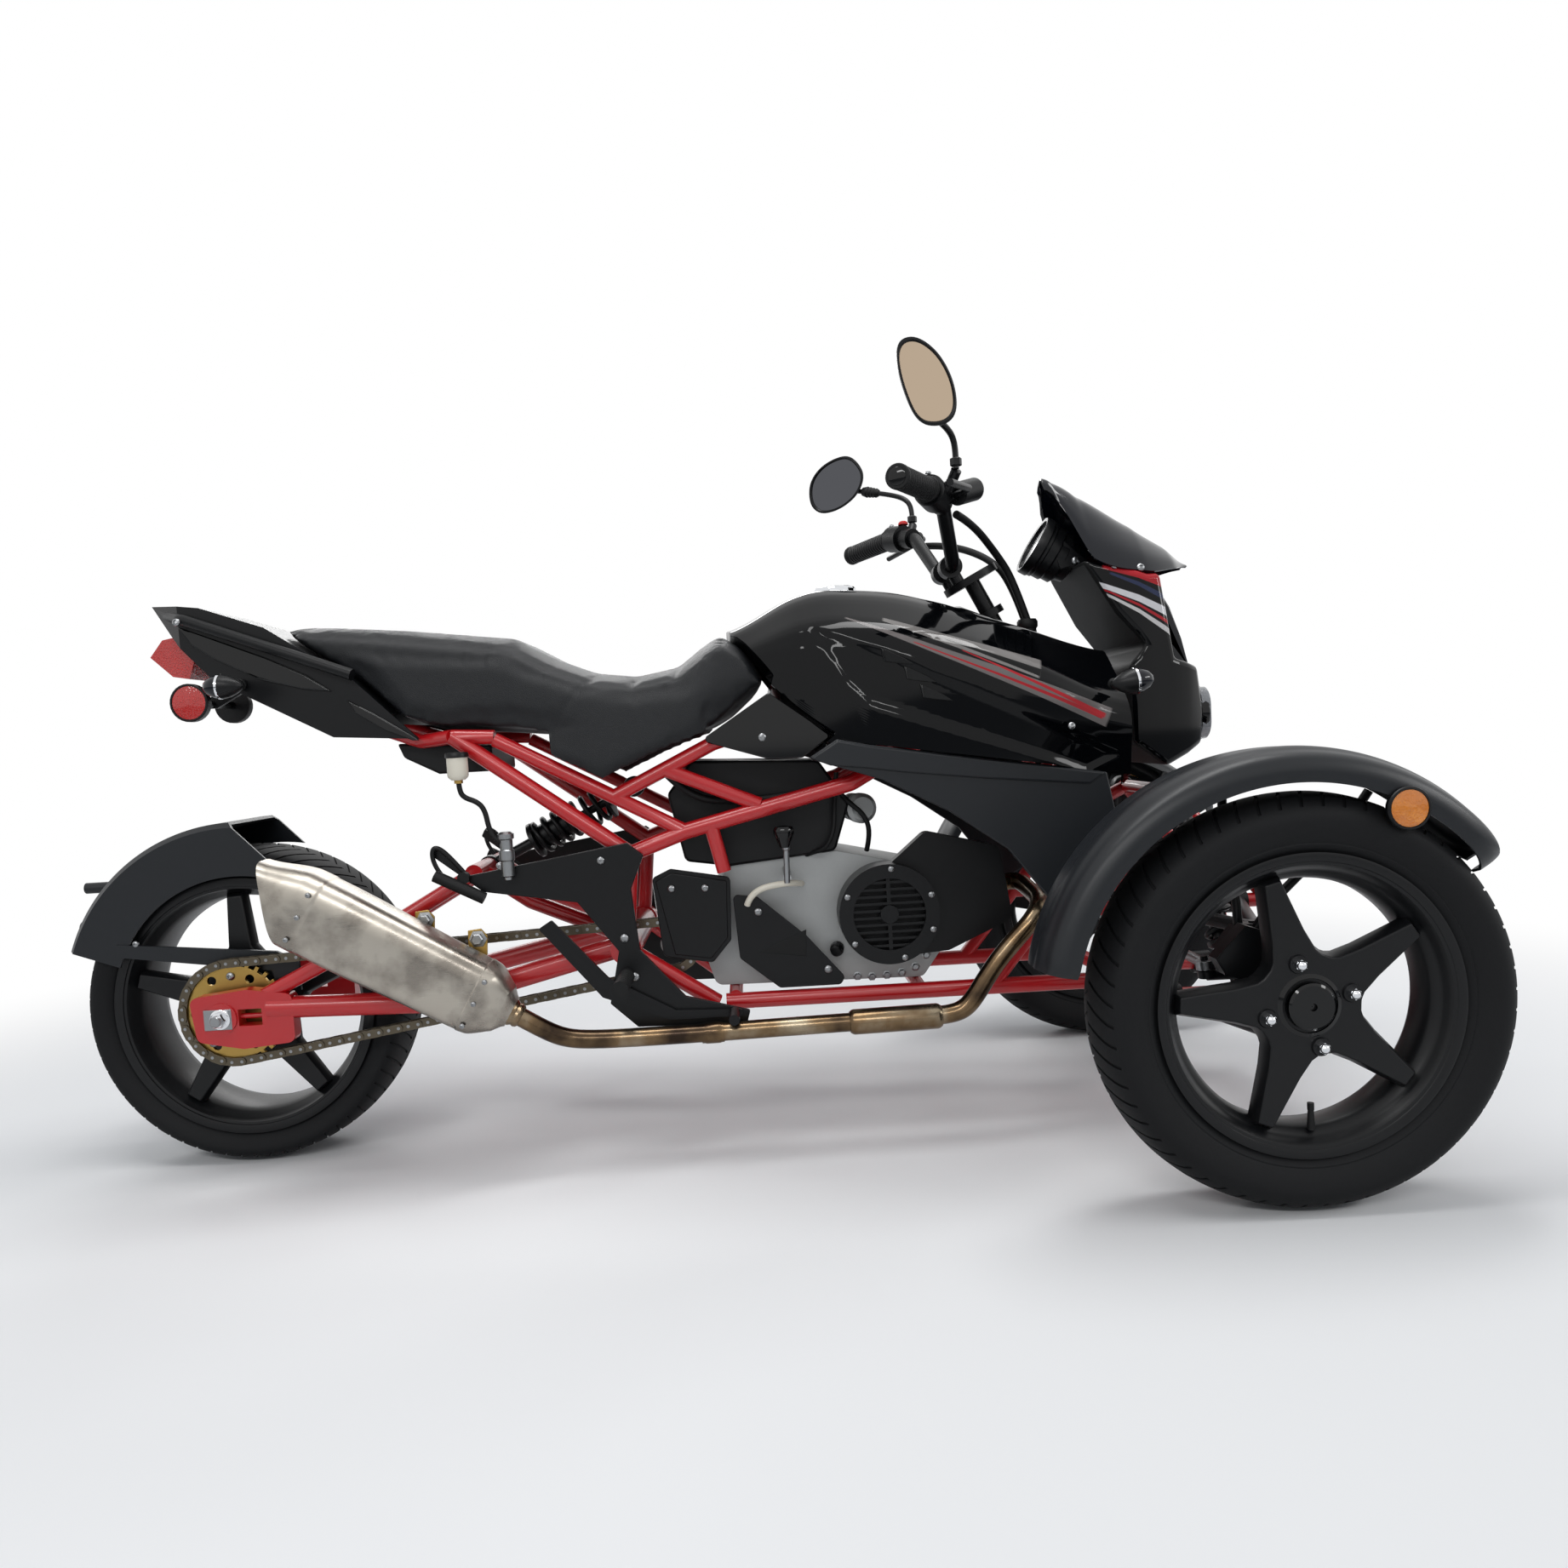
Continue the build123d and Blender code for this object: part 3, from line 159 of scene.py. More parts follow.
def brushedStainless():
    # brushed stainless sheet: fine lines along the muffler, with tarnish in blotches a few centimetres wide
    material, tree, shader = newSurface("brushedStainless", "#aaa59c",
                                        **{"Metallic": 1.0, "Anisotropic": 0.4})
    place = addNode(tree, "ShaderNodeTexCoord")
    # the lines follow the muffler, which rises by 30.7 degrees towards the back
    turned = addNode(tree, "ShaderNodeMapping",
                     {"Rotation": (0, math.radians(-30.7), 0), "Scale": (6, 260, 260)},
                     {"Vector": place.outputs["Object"]})
    lines = addNode(tree, "ShaderNodeTexNoise", {"Scale": 2.0, "Detail": 3.0},
                    {"Vector": turned.outputs["Vector"]})
    blotch = addNode(tree, "ShaderNodeTexNoise", {"Scale": 16.0, "Detail": 5.0},
                     {"Vector": place.outputs["Object"]})
    both = addNode(tree, "ShaderNodeMix", {"data_type": "FLOAT"},
                   {"A": lines.outputs["Fac"], "B": blotch.outputs["Fac"]})
    spread = addNode(tree, "ShaderNodeMapRange",
                     {"From Min": 0.3, "From Max": 0.7, "To Min": 0.2, "To Max": 0.46},
                     {"Value": both.outputs[0]})
    tree.links.new(spread.outputs["Result"], shader.inputs["Roughness"])
    ramp = addNode(tree, "ShaderNodeValToRGB", None, {"Fac": blotch.outputs["Fac"]})
    ramp.color_ramp.elements[0].color = toLinear("#88827a")
    ramp.color_ramp.elements[0].position = 0.36
    ramp.color_ramp.elements[1].color = toLinear("#b0aaa0")
    ramp.color_ramp.elements[1].position = 0.56
    tree.links.new(ramp.outputs["Color"], shader.inputs["Base Color"])
    dent = addNode(tree, "ShaderNodeBump", {"Strength": 0.12, "Distance": 0.0002},
                   {"Height": lines.outputs["Fac"]})
    tree.links.new(dent.outputs["Normal"], shader.inputs["Normal"])
    return material


def tintedStainless():
    # stainless tube after hot runs: straw and brown oxide colours that come and go along it
    material, tree, shader = newSurface("heatTintedStainless", "#8d7458", **{"Metallic": 1.0})
    noise = addTexture(tree, shader, 11, 0.16, 0.34, 0, 0, (1, 1, 1), 5.0)
    ramp = addNode(tree, "ShaderNodeValToRGB", None, {"Fac": noise.outputs["Fac"]})
    ramp.color_ramp.elements[0].color = toLinear("#352b24")
    ramp.color_ramp.elements[0].position = 0.32
    ramp.color_ramp.elements[1].color = toLinear("#a0947f")
    ramp.color_ramp.elements[1].position = 0.68
    middle = ramp.color_ramp.elements.new(0.5)
    middle.color = toLinear("#735f47")
    tree.links.new(ramp.outputs["Color"], shader.inputs["Base Color"])
    return material


def plainMetal(name, hexColour, low, high, scale=400):
    # plated or machined metal
    material, tree, shader = newSurface(name, hexColour, **{"Metallic": 1.0})
    addTexture(tree, shader, scale, low, high)
    return material


def grainedLeatherette():
    # vinyl leatherette with a pebble grain, drawn 2 mm across so that it shows
    material, tree, shader = newSurface("grainedLeatherette", "#121417", **{"Specular IOR Level": 0.3})
    place = addNode(tree, "ShaderNodeTexCoord")
    cells = addNode(tree, "ShaderNodeTexVoronoi", {"Scale": 500.0, "feature": "DISTANCE_TO_EDGE"},
                    {"Vector": place.outputs["Object"]})
    soft = addNode(tree, "ShaderNodeMapRange", {"From Max": 0.25, "To Min": 0.0, "To Max": 1.0},
                   {"Value": cells.outputs["Distance"]})
    dent = addNode(tree, "ShaderNodeBump", {"Strength": 0.4, "Distance": 0.0005},
                   {"Height": soft.outputs["Result"]})
    tree.links.new(dent.outputs["Normal"], shader.inputs["Normal"])
    noise = addNode(tree, "ShaderNodeTexNoise", {"Scale": 14.0, "Detail": 3.0},
                    {"Vector": place.outputs["Object"]})
    spread = addNode(tree, "ShaderNodeMapRange", {"To Min": 0.4, "To Max": 0.52},
                     {"Value": noise.outputs["Fac"]})
    tree.links.new(spread.outputs["Result"], shader.inputs["Roughness"])
    return material


def lampPlastic(name, hexColour, clear=0.15):
    # moulded acrylic lens with small prisms behind a smooth face
    material, tree, shader = newSurface(name, hexColour, **{"Roughness": 0.1, "Coat Weight": 0.8,
                                                            "Transmission Weight": clear, "IOR": 1.49})
    place = addNode(tree, "ShaderNodeTexCoord")
    cells = addNode(tree, "ShaderNodeTexVoronoi", {"Scale": 240.0, "feature": "DISTANCE_TO_EDGE"},
                    {"Vector": place.outputs["Object"]})
    dent = addNode(tree, "ShaderNodeBump", {"Strength": 0.6, "Distance": 0.001},
                   {"Height": cells.outputs["Distance"]})
    tree.links.new(dent.outputs["Normal"], shader.inputs["Normal"])
    return material


# a painted line: start and end in mm forward of the rear axle and above the ground, half widths there, colour
tankLines = [
    ((985, 812), (1362, 642), 1.5, 15, "#6d6867"),
    ((1040, 806), (1262, 718), 3, 15, "#7b7876"),
    ((1128, 770), (1262, 712), 1, 6, "#08090a"),
    ((1080, 768), (1352, 643), 1.0, 3.4, "#a81c26"),
    ((1150, 752), (1356, 645), 1.0, 3.8, "#b01f29"),
]
noseLines = [
    ((1374, 850), (1500, 792), 3.5, 6.5, "#cfcfd2"),
    ((1374, 846), (1500, 776), 1.2, 3.0, "#a81c26"),
    ((1374, 842), (1500, 762), 1.5, 4.5, "#c4c2c2"),
    ((1388, 872), (1500, 842), 3, 13, "#a81c26"),
    ((1398, 862), (1500, 812), 2, 5, "#2b3350"),
]


# metres over which a painted line begins and ends
lineFade = 0.004


def paintedLacquer(name, lines):
    # black lacquer with thin masked lines under the clear coat
    material, tree, shader = newSurface(name, "#050608", **{"Roughness": 0.05, "Specular IOR Level": 0.2})
    place = addNode(tree, "ShaderNodeTexCoord")
    colour = addNode(tree, "ShaderNodeRGB")
    colour.outputs[0].default_value = toLinear("#050608")
    painted = colour.outputs[0]
    for (startX, startZ), (endX, endZ), startHalf, endHalf, hexColour in lines:
        first, last = at(startX, 0, startZ), at(endX, 0, endZ)
        along = (last - first).normalized()
        beside = Vector((-along.z, 0, along.x))
        length = (last - first).length
        forward = addNode(tree, "ShaderNodeVectorMath", {"operation": "DOT_PRODUCT", 1: along},
                          {0: place.outputs["Object"]})
        aside = addNode(tree, "ShaderNodeVectorMath", {"operation": "DOT_PRODUCT", 1: beside},
                        {0: place.outputs["Object"]})
        begin, level = first.dot(along), first.dot(beside)
        half = addNode(tree, "ShaderNodeMapRange", {"From Min": begin, "From Max": begin + length,
                                                    "To Min": startHalf / 1000, "To Max": endHalf / 1000},
                       {"Value": forward.outputs["Value"]})
        away = addNode(tree, "ShaderNodeMath", {"operation": "SUBTRACT", 1: level},
                       {0: aside.outputs["Value"]})
        apart = addNode(tree, "ShaderNodeMath", {"operation": "ABSOLUTE"}, {0: away.outputs[0]})
        spare = addNode(tree, "ShaderNodeMath", {"operation": "SUBTRACT"},
                        {0: half.outputs["Result"], 1: apart.outputs[0]})
        inside = addNode(tree, "ShaderNodeMapRange", {"From Min": 0.0, "From Max": 0.0007},
                         {"Value": spare.outputs[0]})
        opens = addNode(tree, "ShaderNodeMapRange", {"From Min": begin, "From Max": begin + lineFade},
                        {"Value": forward.outputs["Value"]})
        closes = addNode(tree, "ShaderNodeMapRange",
                         {"From Min": begin + length + lineFade, "From Max": begin + length},
                         {"Value": forward.outputs["Value"]})
        ends = addNode(tree, "ShaderNodeMath", {"operation": "MULTIPLY"},
                       {0: opens.outputs["Result"], 1: closes.outputs["Result"]})
        mask = addNode(tree, "ShaderNodeMath", {"operation": "MULTIPLY"},
                       {0: inside.outputs["Result"], 1: ends.outputs[0]})
        mix = addNode(tree, "ShaderNodeMix", {"data_type": "RGBA"}, {"Factor": mask.outputs[0]})
        tree.links.new(painted, mix.inputs[6])
        mix.inputs[7].default_value = toLinear(hexColour)
        painted = mix.outputs[2]
    tree.links.new(painted, shader.inputs["Base Color"])
    return material


def makeMaterials():
    materials.update({
        "tyre": tyreRubber(),
        "rimEnamel": satinEnamel("satinBlackEnamel", "#0d0e10", 0.3, 0.42, 0.26),
        "frameRed": frameEnamel(),
        "blackEnamel": satinEnamel("blackPowderCoat", "#0b0c0e", 0.3, 0.42, 0.24),
        "glossBlack": glossLacquer("blackLacquer", "#040506"),
        "tankPaint": paintedLacquer("linedTankLacquer", tankLines),
        "nosePaint": paintedLacquer("linedNoseLacquer", noseLines),
        "satinPlastic": mouldedPlastic("satinBlackPolypropylene", "#15181c", 0.32, 0.44, 1600, 0.34),
        "blackPlastic": mouldedPlastic("blackAbs", "#0a0b0d", 0.3, 0.44, 1600, 0.24),
        "castAluminium": castAluminium("castAluminium", "#9a9c9c"),
        "stainless": brushedStainless(),
        "heatTint": tintedStainless(),
        "chainSteel": plainMetal("oiledChainSteel", "#5c5549", 0.3, 0.5),
        "goldZinc": plainMetal("yellowZincPlate", "#a88a4c", 0.28, 0.42),
        "zinc": plainMetal("brightZincPlate", "#8f9193", 0.24, 0.38),
        "chrome": plainMetal("chromePlate", "#dfe1e4", 0.04, 0.08),
        # mirror glass: the tan of the right mirror and the dark grey of the left are painted reflections, not
        # the glass's own colour
        "reflectionPaintedGlass": plainMetal("paintedTanReflectionGlass", "#b9a690", 0.02, 0.04),
        "darkReflectionPaintedGlass": plainMetal("paintedDarkReflectionGlass", "#55565a", 0.02, 0.04),
        "leatherette": grainedLeatherette(),
        "gripRubber": mouldedPlastic("gripRubber", "#0a0b0c", 0.5, 0.68, 900, 0.24),
        "redLens": lampPlastic("redAcrylic", "#c01812"),
        "amberLens": lampPlastic("amberAcrylic", "#d97a0c"),
        "clearLens": lampPlastic("clearPolycarbonate", "#a9adb3", 0.5),
        "redButton": mouldedPlastic("redNylon", "#b51a18"),
        "smoked": glossLacquer("smokedPolycarbonate", "#070b14", 0.1),
        "milky": mouldedPlastic("milkyPolyethylene", "#d9d4c6", 0.3, 0.4, 700),
    })
    print("materials", len(materials))


# shared mesh work; remade holds the CAD nodes that a finished piece stands for
remade = set()


def finishMesh(name, work, material, body, stands=(), angle=35.0, smooth=True):
    # turns a bmesh into a piece on a body; edges sharper than angle stay sharp
    limit = math.radians(angle)
    for face in work.faces:
        face.smooth = smooth
    for edge in work.edges:
        edge.smooth = len(edge.link_faces) == 2 and edge.calc_face_angle(0.0) < limit
    mesh = bpy.data.meshes.new(name)
    work.to_mesh(mesh)
    work.free()
    piece = bpy.data.objects.new(name, mesh)
    scene.collection.objects.link(piece)
    mesh.materials.append(materials[material])
    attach(piece, body)
    if stands:
        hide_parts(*stands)
        remade.update(stands)
    return piece


def bevelPiece(piece, width, segments=2, angle=40.0):
    modifier = piece.modifiers.new("edges", "BEVEL")
    modifier.width = width / 1000
    modifier.segments = segments
    modifier.limit_method = "ANGLE"
    modifier.angle_limit = math.radians(angle)
    return piece


def thicken(piece, thickness, offset=-1.0):
    modifier = piece.modifiers.new("wall", "SOLIDIFY")
    modifier.thickness = thickness / 1000
    modifier.offset = offset
    return piece


def nodeMesh(node):
    # a merged copy of a CAD node's triangles, as one bmesh
    work = bmesh.new()
    work.from_mesh(frame["nodes"][node].data)
    bmesh.ops.remove_doubles(work, verts=work.verts, dist=1e-5)
    bmesh.ops.dissolve_limit(work, angle_limit=math.radians(0.4), verts=work.verts, edges=work.edges)
    return work


def bodyOf(node):
    return frame["nodes"][node]["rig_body"]


def dressNode(node, material, width=0.0, angle=35.0, segments=2):
    piece = finishMesh(node + "Piece", nodeMesh(node), material, bodyOf(node), (node,), angle)
    if width > 0:
        bevelPiece(piece, width, segments)
    return piece


def splitNode(node, choose, width=0.0):
    # every solid of the node gets the finish that choose(middle) names; middle is in mm on the drawing
    work = nodeMesh(node)
    slots, dropped = [], []
    left = set(work.faces)
    while left:
        island, front = set(), [left.pop()]
        while front:
            face = front.pop()
            island.add(face)
            for edge in face.edges:
                for other in edge.link_faces:
                    if other in left:
                        left.discard(other)
                        front.append(other)
        corners = [v.co for f in island for v in f.verts]
        low = Vector([min(c[i] for c in corners) for i in range(3)])
        high = Vector([max(c[i] for c in corners) for i in range(3)])
        middle = (low + high) / 2 * 1000
        middle.x += rearAxleToOrigin
        finish = choose(middle)
        if finish is None:
            dropped += list(island)
            continue
        if finish not in slots:
            slots.append(finish)
        for face in island:
            face.material_index = slots.index(finish)
    if dropped:
        bmesh.ops.delete(work, geom=dropped, context="FACES")
    piece = finishMesh(node + "Piece", work, slots[0], bodyOf(node), (node,), 35)
    for finish in slots[1:]:
        piece.data.materials.append(materials[finish])
    if width > 0:
        bevelPiece(piece, width)
    return piece


def rowAt(rows, x):
    # a table's values at x, on a smooth curve through its rows
    x = min(max(x, rows[0][0]), rows[-1][0])
    index = max(i for i in range(len(rows) - 1) if rows[i][0] <= x)
    first, second = rows[index], rows[index + 1]
    before, after = rows[max(index - 1, 0)], rows[min(index + 2, len(rows) - 1)]
    t = (x - first[0]) / (second[0] - first[0])
    values = []
    for a, b, c, d in zip(before[1:], first[1:], second[1:], after[1:]):
        values.append(b + 0.5 * t * ((c - a) + t * (2 * a - 5 * b + 4 * c - d + t * (3 * (b - c) + d - a))))
    return values


def lineAt(points, value):
    # straight runs between (value, result) points
    if value <= points[0][0]:
        return points[0][1]
    for (low, first), (high, second) in zip(points, points[1:]):
        if value <= high:
            return first + (second - first) * (value - low) / (high - low)
    return points[-1][1]


def roundLine(points, share, times, closed=False):
    # cuts every corner by a share of its sides, again and again
    for _ in range(times):
        ends = points[1:] + (points[:1] if closed else [])
        softer = []
        for first, second in zip(points, ends):
            softer += [first.lerp(second, share), first.lerp(second, 1 - share)]
        points = softer if closed else [points[0]] + softer[1:-1] + [points[-1]]
    return points


def alongLine(points, share):
    # the point at that share of a line's length
    lengths = [(b - a).length for a, b in zip(points, points[1:])]
    goal = share * sum(lengths)
    for (first, second), length in zip(zip(points, points[1:]), lengths):
        if goal <= length or second is points[-1]:
            return first.lerp(second, min(goal / max(length, 1e-9), 1.0))
        goal -= length


def shapeSheet(stepsAlong, stepsAcross, place):
    # a grid whose corners are moved to their place on the form
    work = bmesh.new()
    bmesh.ops.create_grid(work, x_segments=stepsAlong, y_segments=stepsAcross, size=0.5)
    for vert in work.verts:
        vert.co = place(vert.co.x + 0.5, vert.co.y + 0.5)
    bmesh.ops.remove_doubles(work, verts=work.verts, dist=1e-5)
    return work


def mirrorSheet(work):
    bmesh.ops.mirror(work, geom=work.verts[:] + work.edges[:] + work.faces[:], axis="Y", merge_dist=0.0002)
    bmesh.ops.recalc_face_normals(work, faces=work.faces)
    return work


def depthInside(outline, x, z):
    # how far a point lies inside an outline, in mm; negative outside
    nearest, inside = 1e9, False
    for (ax, az), (bx, bz) in zip(outline, outline[1:] + outline[:1]):
        dx, dz = bx - ax, bz - az
        t = min(max(((x - ax) * dx + (z - az) * dz) / (dx * dx + dz * dz), 0), 1)
        nearest = min(nearest, math.hypot(x - ax - t * dx, z - az - t * dz))
        if (az > z) != (bz > z) and x < ax + (z - az) * dx / dz:
            inside = not inside
    return nearest if inside else -nearest


def easeStep(value):
    value = min(max(value, 0.0), 1.0)
    return value * value * (3 - 2 * value)


def standAt(place, direction):
    # turns +Z to the direction and moves to the place
    return Matrix.Translation(place) @ Vector(direction).to_track_quat("Z", "Y").to_matrix().to_4x4()


def addRing(work, matrix, profile, steps=24):
    # spins (radius, height) points in mm about the matrix's Z axis
    ring = [work.verts.new(matrix @ Vector((r / 1000, 0, h / 1000))) for r, h in profile]
    edges = [work.edges.new(pair) for pair in zip(ring, ring[1:])]
    axis = matrix.to_3x3() @ Vector((0, 0, 1))
    bmesh.ops.spin(work, geom=ring + edges, cent=matrix.translation, axis=axis, angle=math.tau, steps=steps,
                   use_merge=True)


def addPlate(work, corners, thickness):
    # a flat face, extruded by thickness in mm along Y
    face = work.faces.new([work.verts.new(corner) for corner in corners])
    lifted = bmesh.ops.extrude_face_region(work, geom=[face])
    raised = [v for v in lifted["geom"] if isinstance(v, bmesh.types.BMVert)]
    bmesh.ops.translate(work, verts=raised, vec=(0, thickness / 1000, 0))


def ringPiece(name, rings, material, body, stands=(), steps=28, angle=32):
    # one piece from several spun profiles: each is (place, direction, profile)
    work = bmesh.new()
    for place, direction, profile in rings:
        addRing(work, standAt(place, direction), profile, steps)
    bmesh.ops.remove_doubles(work, verts=work.verts, dist=2e-6)
    bmesh.ops.recalc_face_normals(work, faces=work.faces)
    return finishMesh(name, work, material, body, stands, angle)


def hosePiece(name, points, radius, material, body, stands=(), resolution=8):
    # a round bar or short pipe along a smooth line, as a mesh
    curve = bpy.data.curves.new(name, "CURVE")
    curve.dimensions = "3D"
    spline = curve.splines.new("NURBS")
    spline.points.add(len(points) - 1)
    for point, place in zip(spline.points, points):
        point.co = (*place, 1)
    spline.order_u = min(4, len(points))
    spline.use_endpoint_u = True
    curve.resolution_u = 10
    curve.bevel_depth = radius / 1000
    curve.bevel_resolution = resolution // 2
    curve.use_fill_caps = True
    holder = bpy.data.objects.new(name + "Line", curve)
    scene.collection.objects.link(holder)
    mesh = bpy.data.meshes.new_from_object(holder.evaluated_get(bpy.context.evaluated_depsgraph_get()))
    bpy.data.objects.remove(holder)
    work = bmesh.new()
    work.from_mesh(mesh)
    bmesh.ops.remove_doubles(work, verts=work.verts, dist=1e-6)
    return finishMesh(name, work, material, body, stands, 40)


# a hexagon bolt with its washer face, and a dome-headed bolt with its socket, for a shank of 1 mm radius
domeBolt = [(2.1, 0), (2.1, 0.35), (1.9, 1.0), (1.4, 1.45), (0.95, 1.6), (0.95, 0.9), (0.02, 0.9)]
flangeBolt = [(2.5, 0), (2.5, 0.3), (1.75, 0.5), (1.7, 1.5), (1.35, 1.8), (0.02, 1.8)]


def boltPiece(name, bolts, material, body, shape=domeBolt, steps=18):
    # bolts are (x, y, z, direction, shank radius)
    rings = [(at(x, y, z), direction, [(r * size, h * size) for r, h in shape])
             for x, y, z, direction, size in bolts]
    return ringPiece(name, rings, material, body, (), 6 if shape is flangeBolt else steps, 25)


def segmentGap(point, first, second):
    run = second - first
    share = min(max((point - first).dot(run) / run.length_squared, 0), 1)
    return (point - first - run * share).length


def applyModifiers(piece):
    bpy.context.view_layer.update()
    mesh = bpy.data.meshes.new_from_object(piece.evaluated_get(bpy.context.evaluated_depsgraph_get()))
    piece.modifiers.clear()
    piece.data = mesh


# patches of trim: an outline in the side view, laid on a side whose half width is known, and raised
def sidePatch(name, outline, halfAt, thickness, material, body="chassis", bevel=1.5, hands=(-1, 1), sunk=0.5):
    work = bmesh.new()
    for hand in hands:
        addPlate(work, [at(x, hand * (halfAt(x, z) - sunk), z) for x, z in outline], hand * thickness)
    bmesh.ops.recalc_face_normals(work, faces=work.faces)
    piece = finishMesh(name, work, material, body, (), 30)
    return bevelPiece(piece, bevel, 3, 30)


def splineLength(curve):
    # the length of a curve's own line
    holder = bpy.data.objects.new("measure", curve.copy())
    holder.data.bevel_depth = 0
    scene.collection.objects.link(holder)
    mesh = bpy.data.meshes.new_from_object(holder.evaluated_get(bpy.context.evaluated_depsgraph_get()))
    spots = [v.co for v in mesh.vertices]
    length = sum((spots[e.vertices[0]] - spots[e.vertices[1]]).length for e in mesh.edges)
    bpy.data.objects.remove(holder)
    return length


def cordPiece(name, route, diameter, material, body, stands=()):
    # a hose or cable with both ends held, on one smooth line
    curve = bpy.data.curves.new(name, "CURVE")
    curve.dimensions = "3D"
    spline = curve.splines.new("NURBS")
    spline.points.add(len(route) - 1)
    for point, (x, y, z) in zip(spline.points, route):
        point.co = (*at(x, y, z), 1)
    spline.order_u = 3
    spline.use_endpoint_u = True
    curve.resolution_u = 12
    curve.bevel_depth = diameter / 2000
    curve.bevel_resolution = 4
    curve.use_fill_caps = True
    piece = bpy.data.objects.new(name, curve)
    scene.collection.objects.link(piece)
    curve.materials.append(materials[material])
    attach(piece, body)
    if stands:
        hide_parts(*stands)
        remade.update(stands)
    tuple(at(*route[0]))
    splineLength(curve)


# wheels
# profiles are (radius, distance outwards) in mm, from the inner bead over the tread to the outer bead
frontWheel = {
    "tyreHalf": [(194.4, 39.6), (198, 43), (204, 46.6), (206, 46.4), (208, 48.2), (222, 53.8), (232, 56.2),
                 (239, 56.3), (245, 54.4), (251, 50.2), (256.5, 44), (260.8, 35), (264.2, 24), (266.6, 12)],
    "crown": 267.8, "grooves": 60, "slant": 0.055, "grooveFrom": 9, "inner": 186,
    "barrel": [(194, -46), (190, -47), (181, -45), (179, -38), (170, -30), (165, -20), (163, 0), (163, 14),
               (167, 24), (173, 29), (177, 34), (179, 40), (183, 45), (190, 47), (194, 46)],
    "spokeFace": 37, "spokeBack": 12, "spokeEnd": 166, "endHalf": 13.5, "rootHalf": 25, "rootAt": 92,
    "crotch": 70, "phase": 33, "capRadius": 31, "cap": 47, "lugs": 55,
}
rearWheel = {
    "tyreHalf": [(208.4, 60), (212, 65), (218, 69.5), (228, 74), (235, 75.5), (241, 73.5), (246.5, 67),
                 (251, 54), (254, 38), (255.8, 20)],
    "crown": 256.6, "grooves": 64, "slant": 0.09, "grooveFrom": 5, "inner": 199,
    "barrel": [(208, -66), (203, -67), (195, -65), (192, -56), (184, -46), (180, -30), (179, 0), (180, 30),
               (184, 46), (192, 56), (195, 65), (203, 67), (208, 66)],
    "spokeFace": 56, "spokeBack": 34, "spokeEnd": 182, "endHalf": 15, "rootHalf": 22, "rootAt": 96,
    "crotch": 80, "phase": 20, "capRadius": 34, "cap": 60,
}
# grooves of the tread in mm: faces round the tyre for each, plain middle, depth, edge, and how far they lean
treadForm = {"facesPerGroove": 6, "plainMiddle": 6, "depth": 2.6, "edge": 0.4, "lean": 1.6}
# nut and cup as lower radius, upper radius, height and middle; dome as radius and middle
lugForm = {
    "count": 4, "firstAngle": 14, "nut": (7.8, 7.4, 10, 5), "cup": (12.5, 11.2, 3, 1.2), "dome": (6.6, 9.5),
}
# stem and cap of the valve: lower radius, upper radius, height and place up the wheel
valveForm = {"place": (4, 26), "stem": (5.2, 3.6, 26, -150), "cap": (4.2, 4.2, 9, -133)}


def spinProfile(profile, steps, closed=False):
    # spins (radius, outwards) points in mm about the Y axis
    work = bmesh.new()
    ring = [work.verts.new((r / 1000, y / 1000, 0)) for r, y in profile]
    edges = [work.edges.new(pair) for pair in zip(ring, ring[1:])]
    if closed:
        edges.append(work.edges.new((ring[-1], ring[0])))
    bmesh.ops.spin(work, geom=ring + edges, cent=(0, 0, 0), axis=(0, 1, 0), angle=math.tau, steps=steps,
                   use_merge=True)
    bmesh.ops.remove_doubles(work, verts=work.verts, dist=1e-6)
    bmesh.ops.recalc_face_normals(work, faces=work.faces)
    return work


def placeWheel(work, hand, centre):
    # mirrors a wheel part for its side and moves it to its hub
    bmesh.ops.scale(work, vec=(1, hand, 1), verts=work.verts)
    if hand < 0:
        bmesh.ops.reverse_faces(work, faces=work.faces)
    bmesh.ops.translate(work, vec=centre, verts=work.verts)
    return work


def makeTyre(name, wheel, hand, centre, body, node):
    outer = wheel["tyreHalf"]
    profile = [(r, -y) for r, y in outer] + [(wheel["crown"], 0)] + [(r, y) for r, y in reversed(outer)]
    lowest = outer[0]
    profile += [(wheel["inner"], lowest[1] - 3), (wheel["inner"], -lowest[1] + 3)]
    perGroove = treadForm["facesPerGroove"]
    plainMiddle = treadForm["plainMiddle"] / 1000
    work = spinProfile(profile, wheel["grooves"] * perGroove, closed=True)
    start = outer[wheel["grooveFrom"]][0] / 1000 - 0.0005
    limit = outer[wheel["grooveFrom"]][1] / 1000 + 0.0006
    cuts = []
    for face in work.faces:
        middle = face.calc_center_median()
        reach = math.hypot(middle.x, middle.z)
        if reach > start and abs(middle.y) < limit:
            turn = (math.atan2(middle.z, middle.x) / math.tau * wheel["grooves"]) % 1
            half = 0.5 if middle.y > 0 else 0
            if int((turn + half) % 1 * perGroove) == 0 and abs(middle.y) > plainMiddle:
                cuts.append(face)
    # the grooves lean back towards the tread's edges
    lean = treadForm["lean"] * wheel["slant"] / limit
    for vert in work.verts:
        if math.hypot(vert.co.x, vert.co.z) > start - 0.004:
            turn = Matrix.Rotation(-abs(vert.co.y) * lean, 3, "Y")
            vert.co = turn @ vert.co
    bmesh.ops.inset_region(work, faces=cuts, thickness=treadForm["edge"] / 1000,
                           depth=-treadForm["depth"] / 1000, use_even_offset=True)
    placeWheel(work, hand, centre)
    return finishMesh(name, work, "tyre", body, (node,), 32)


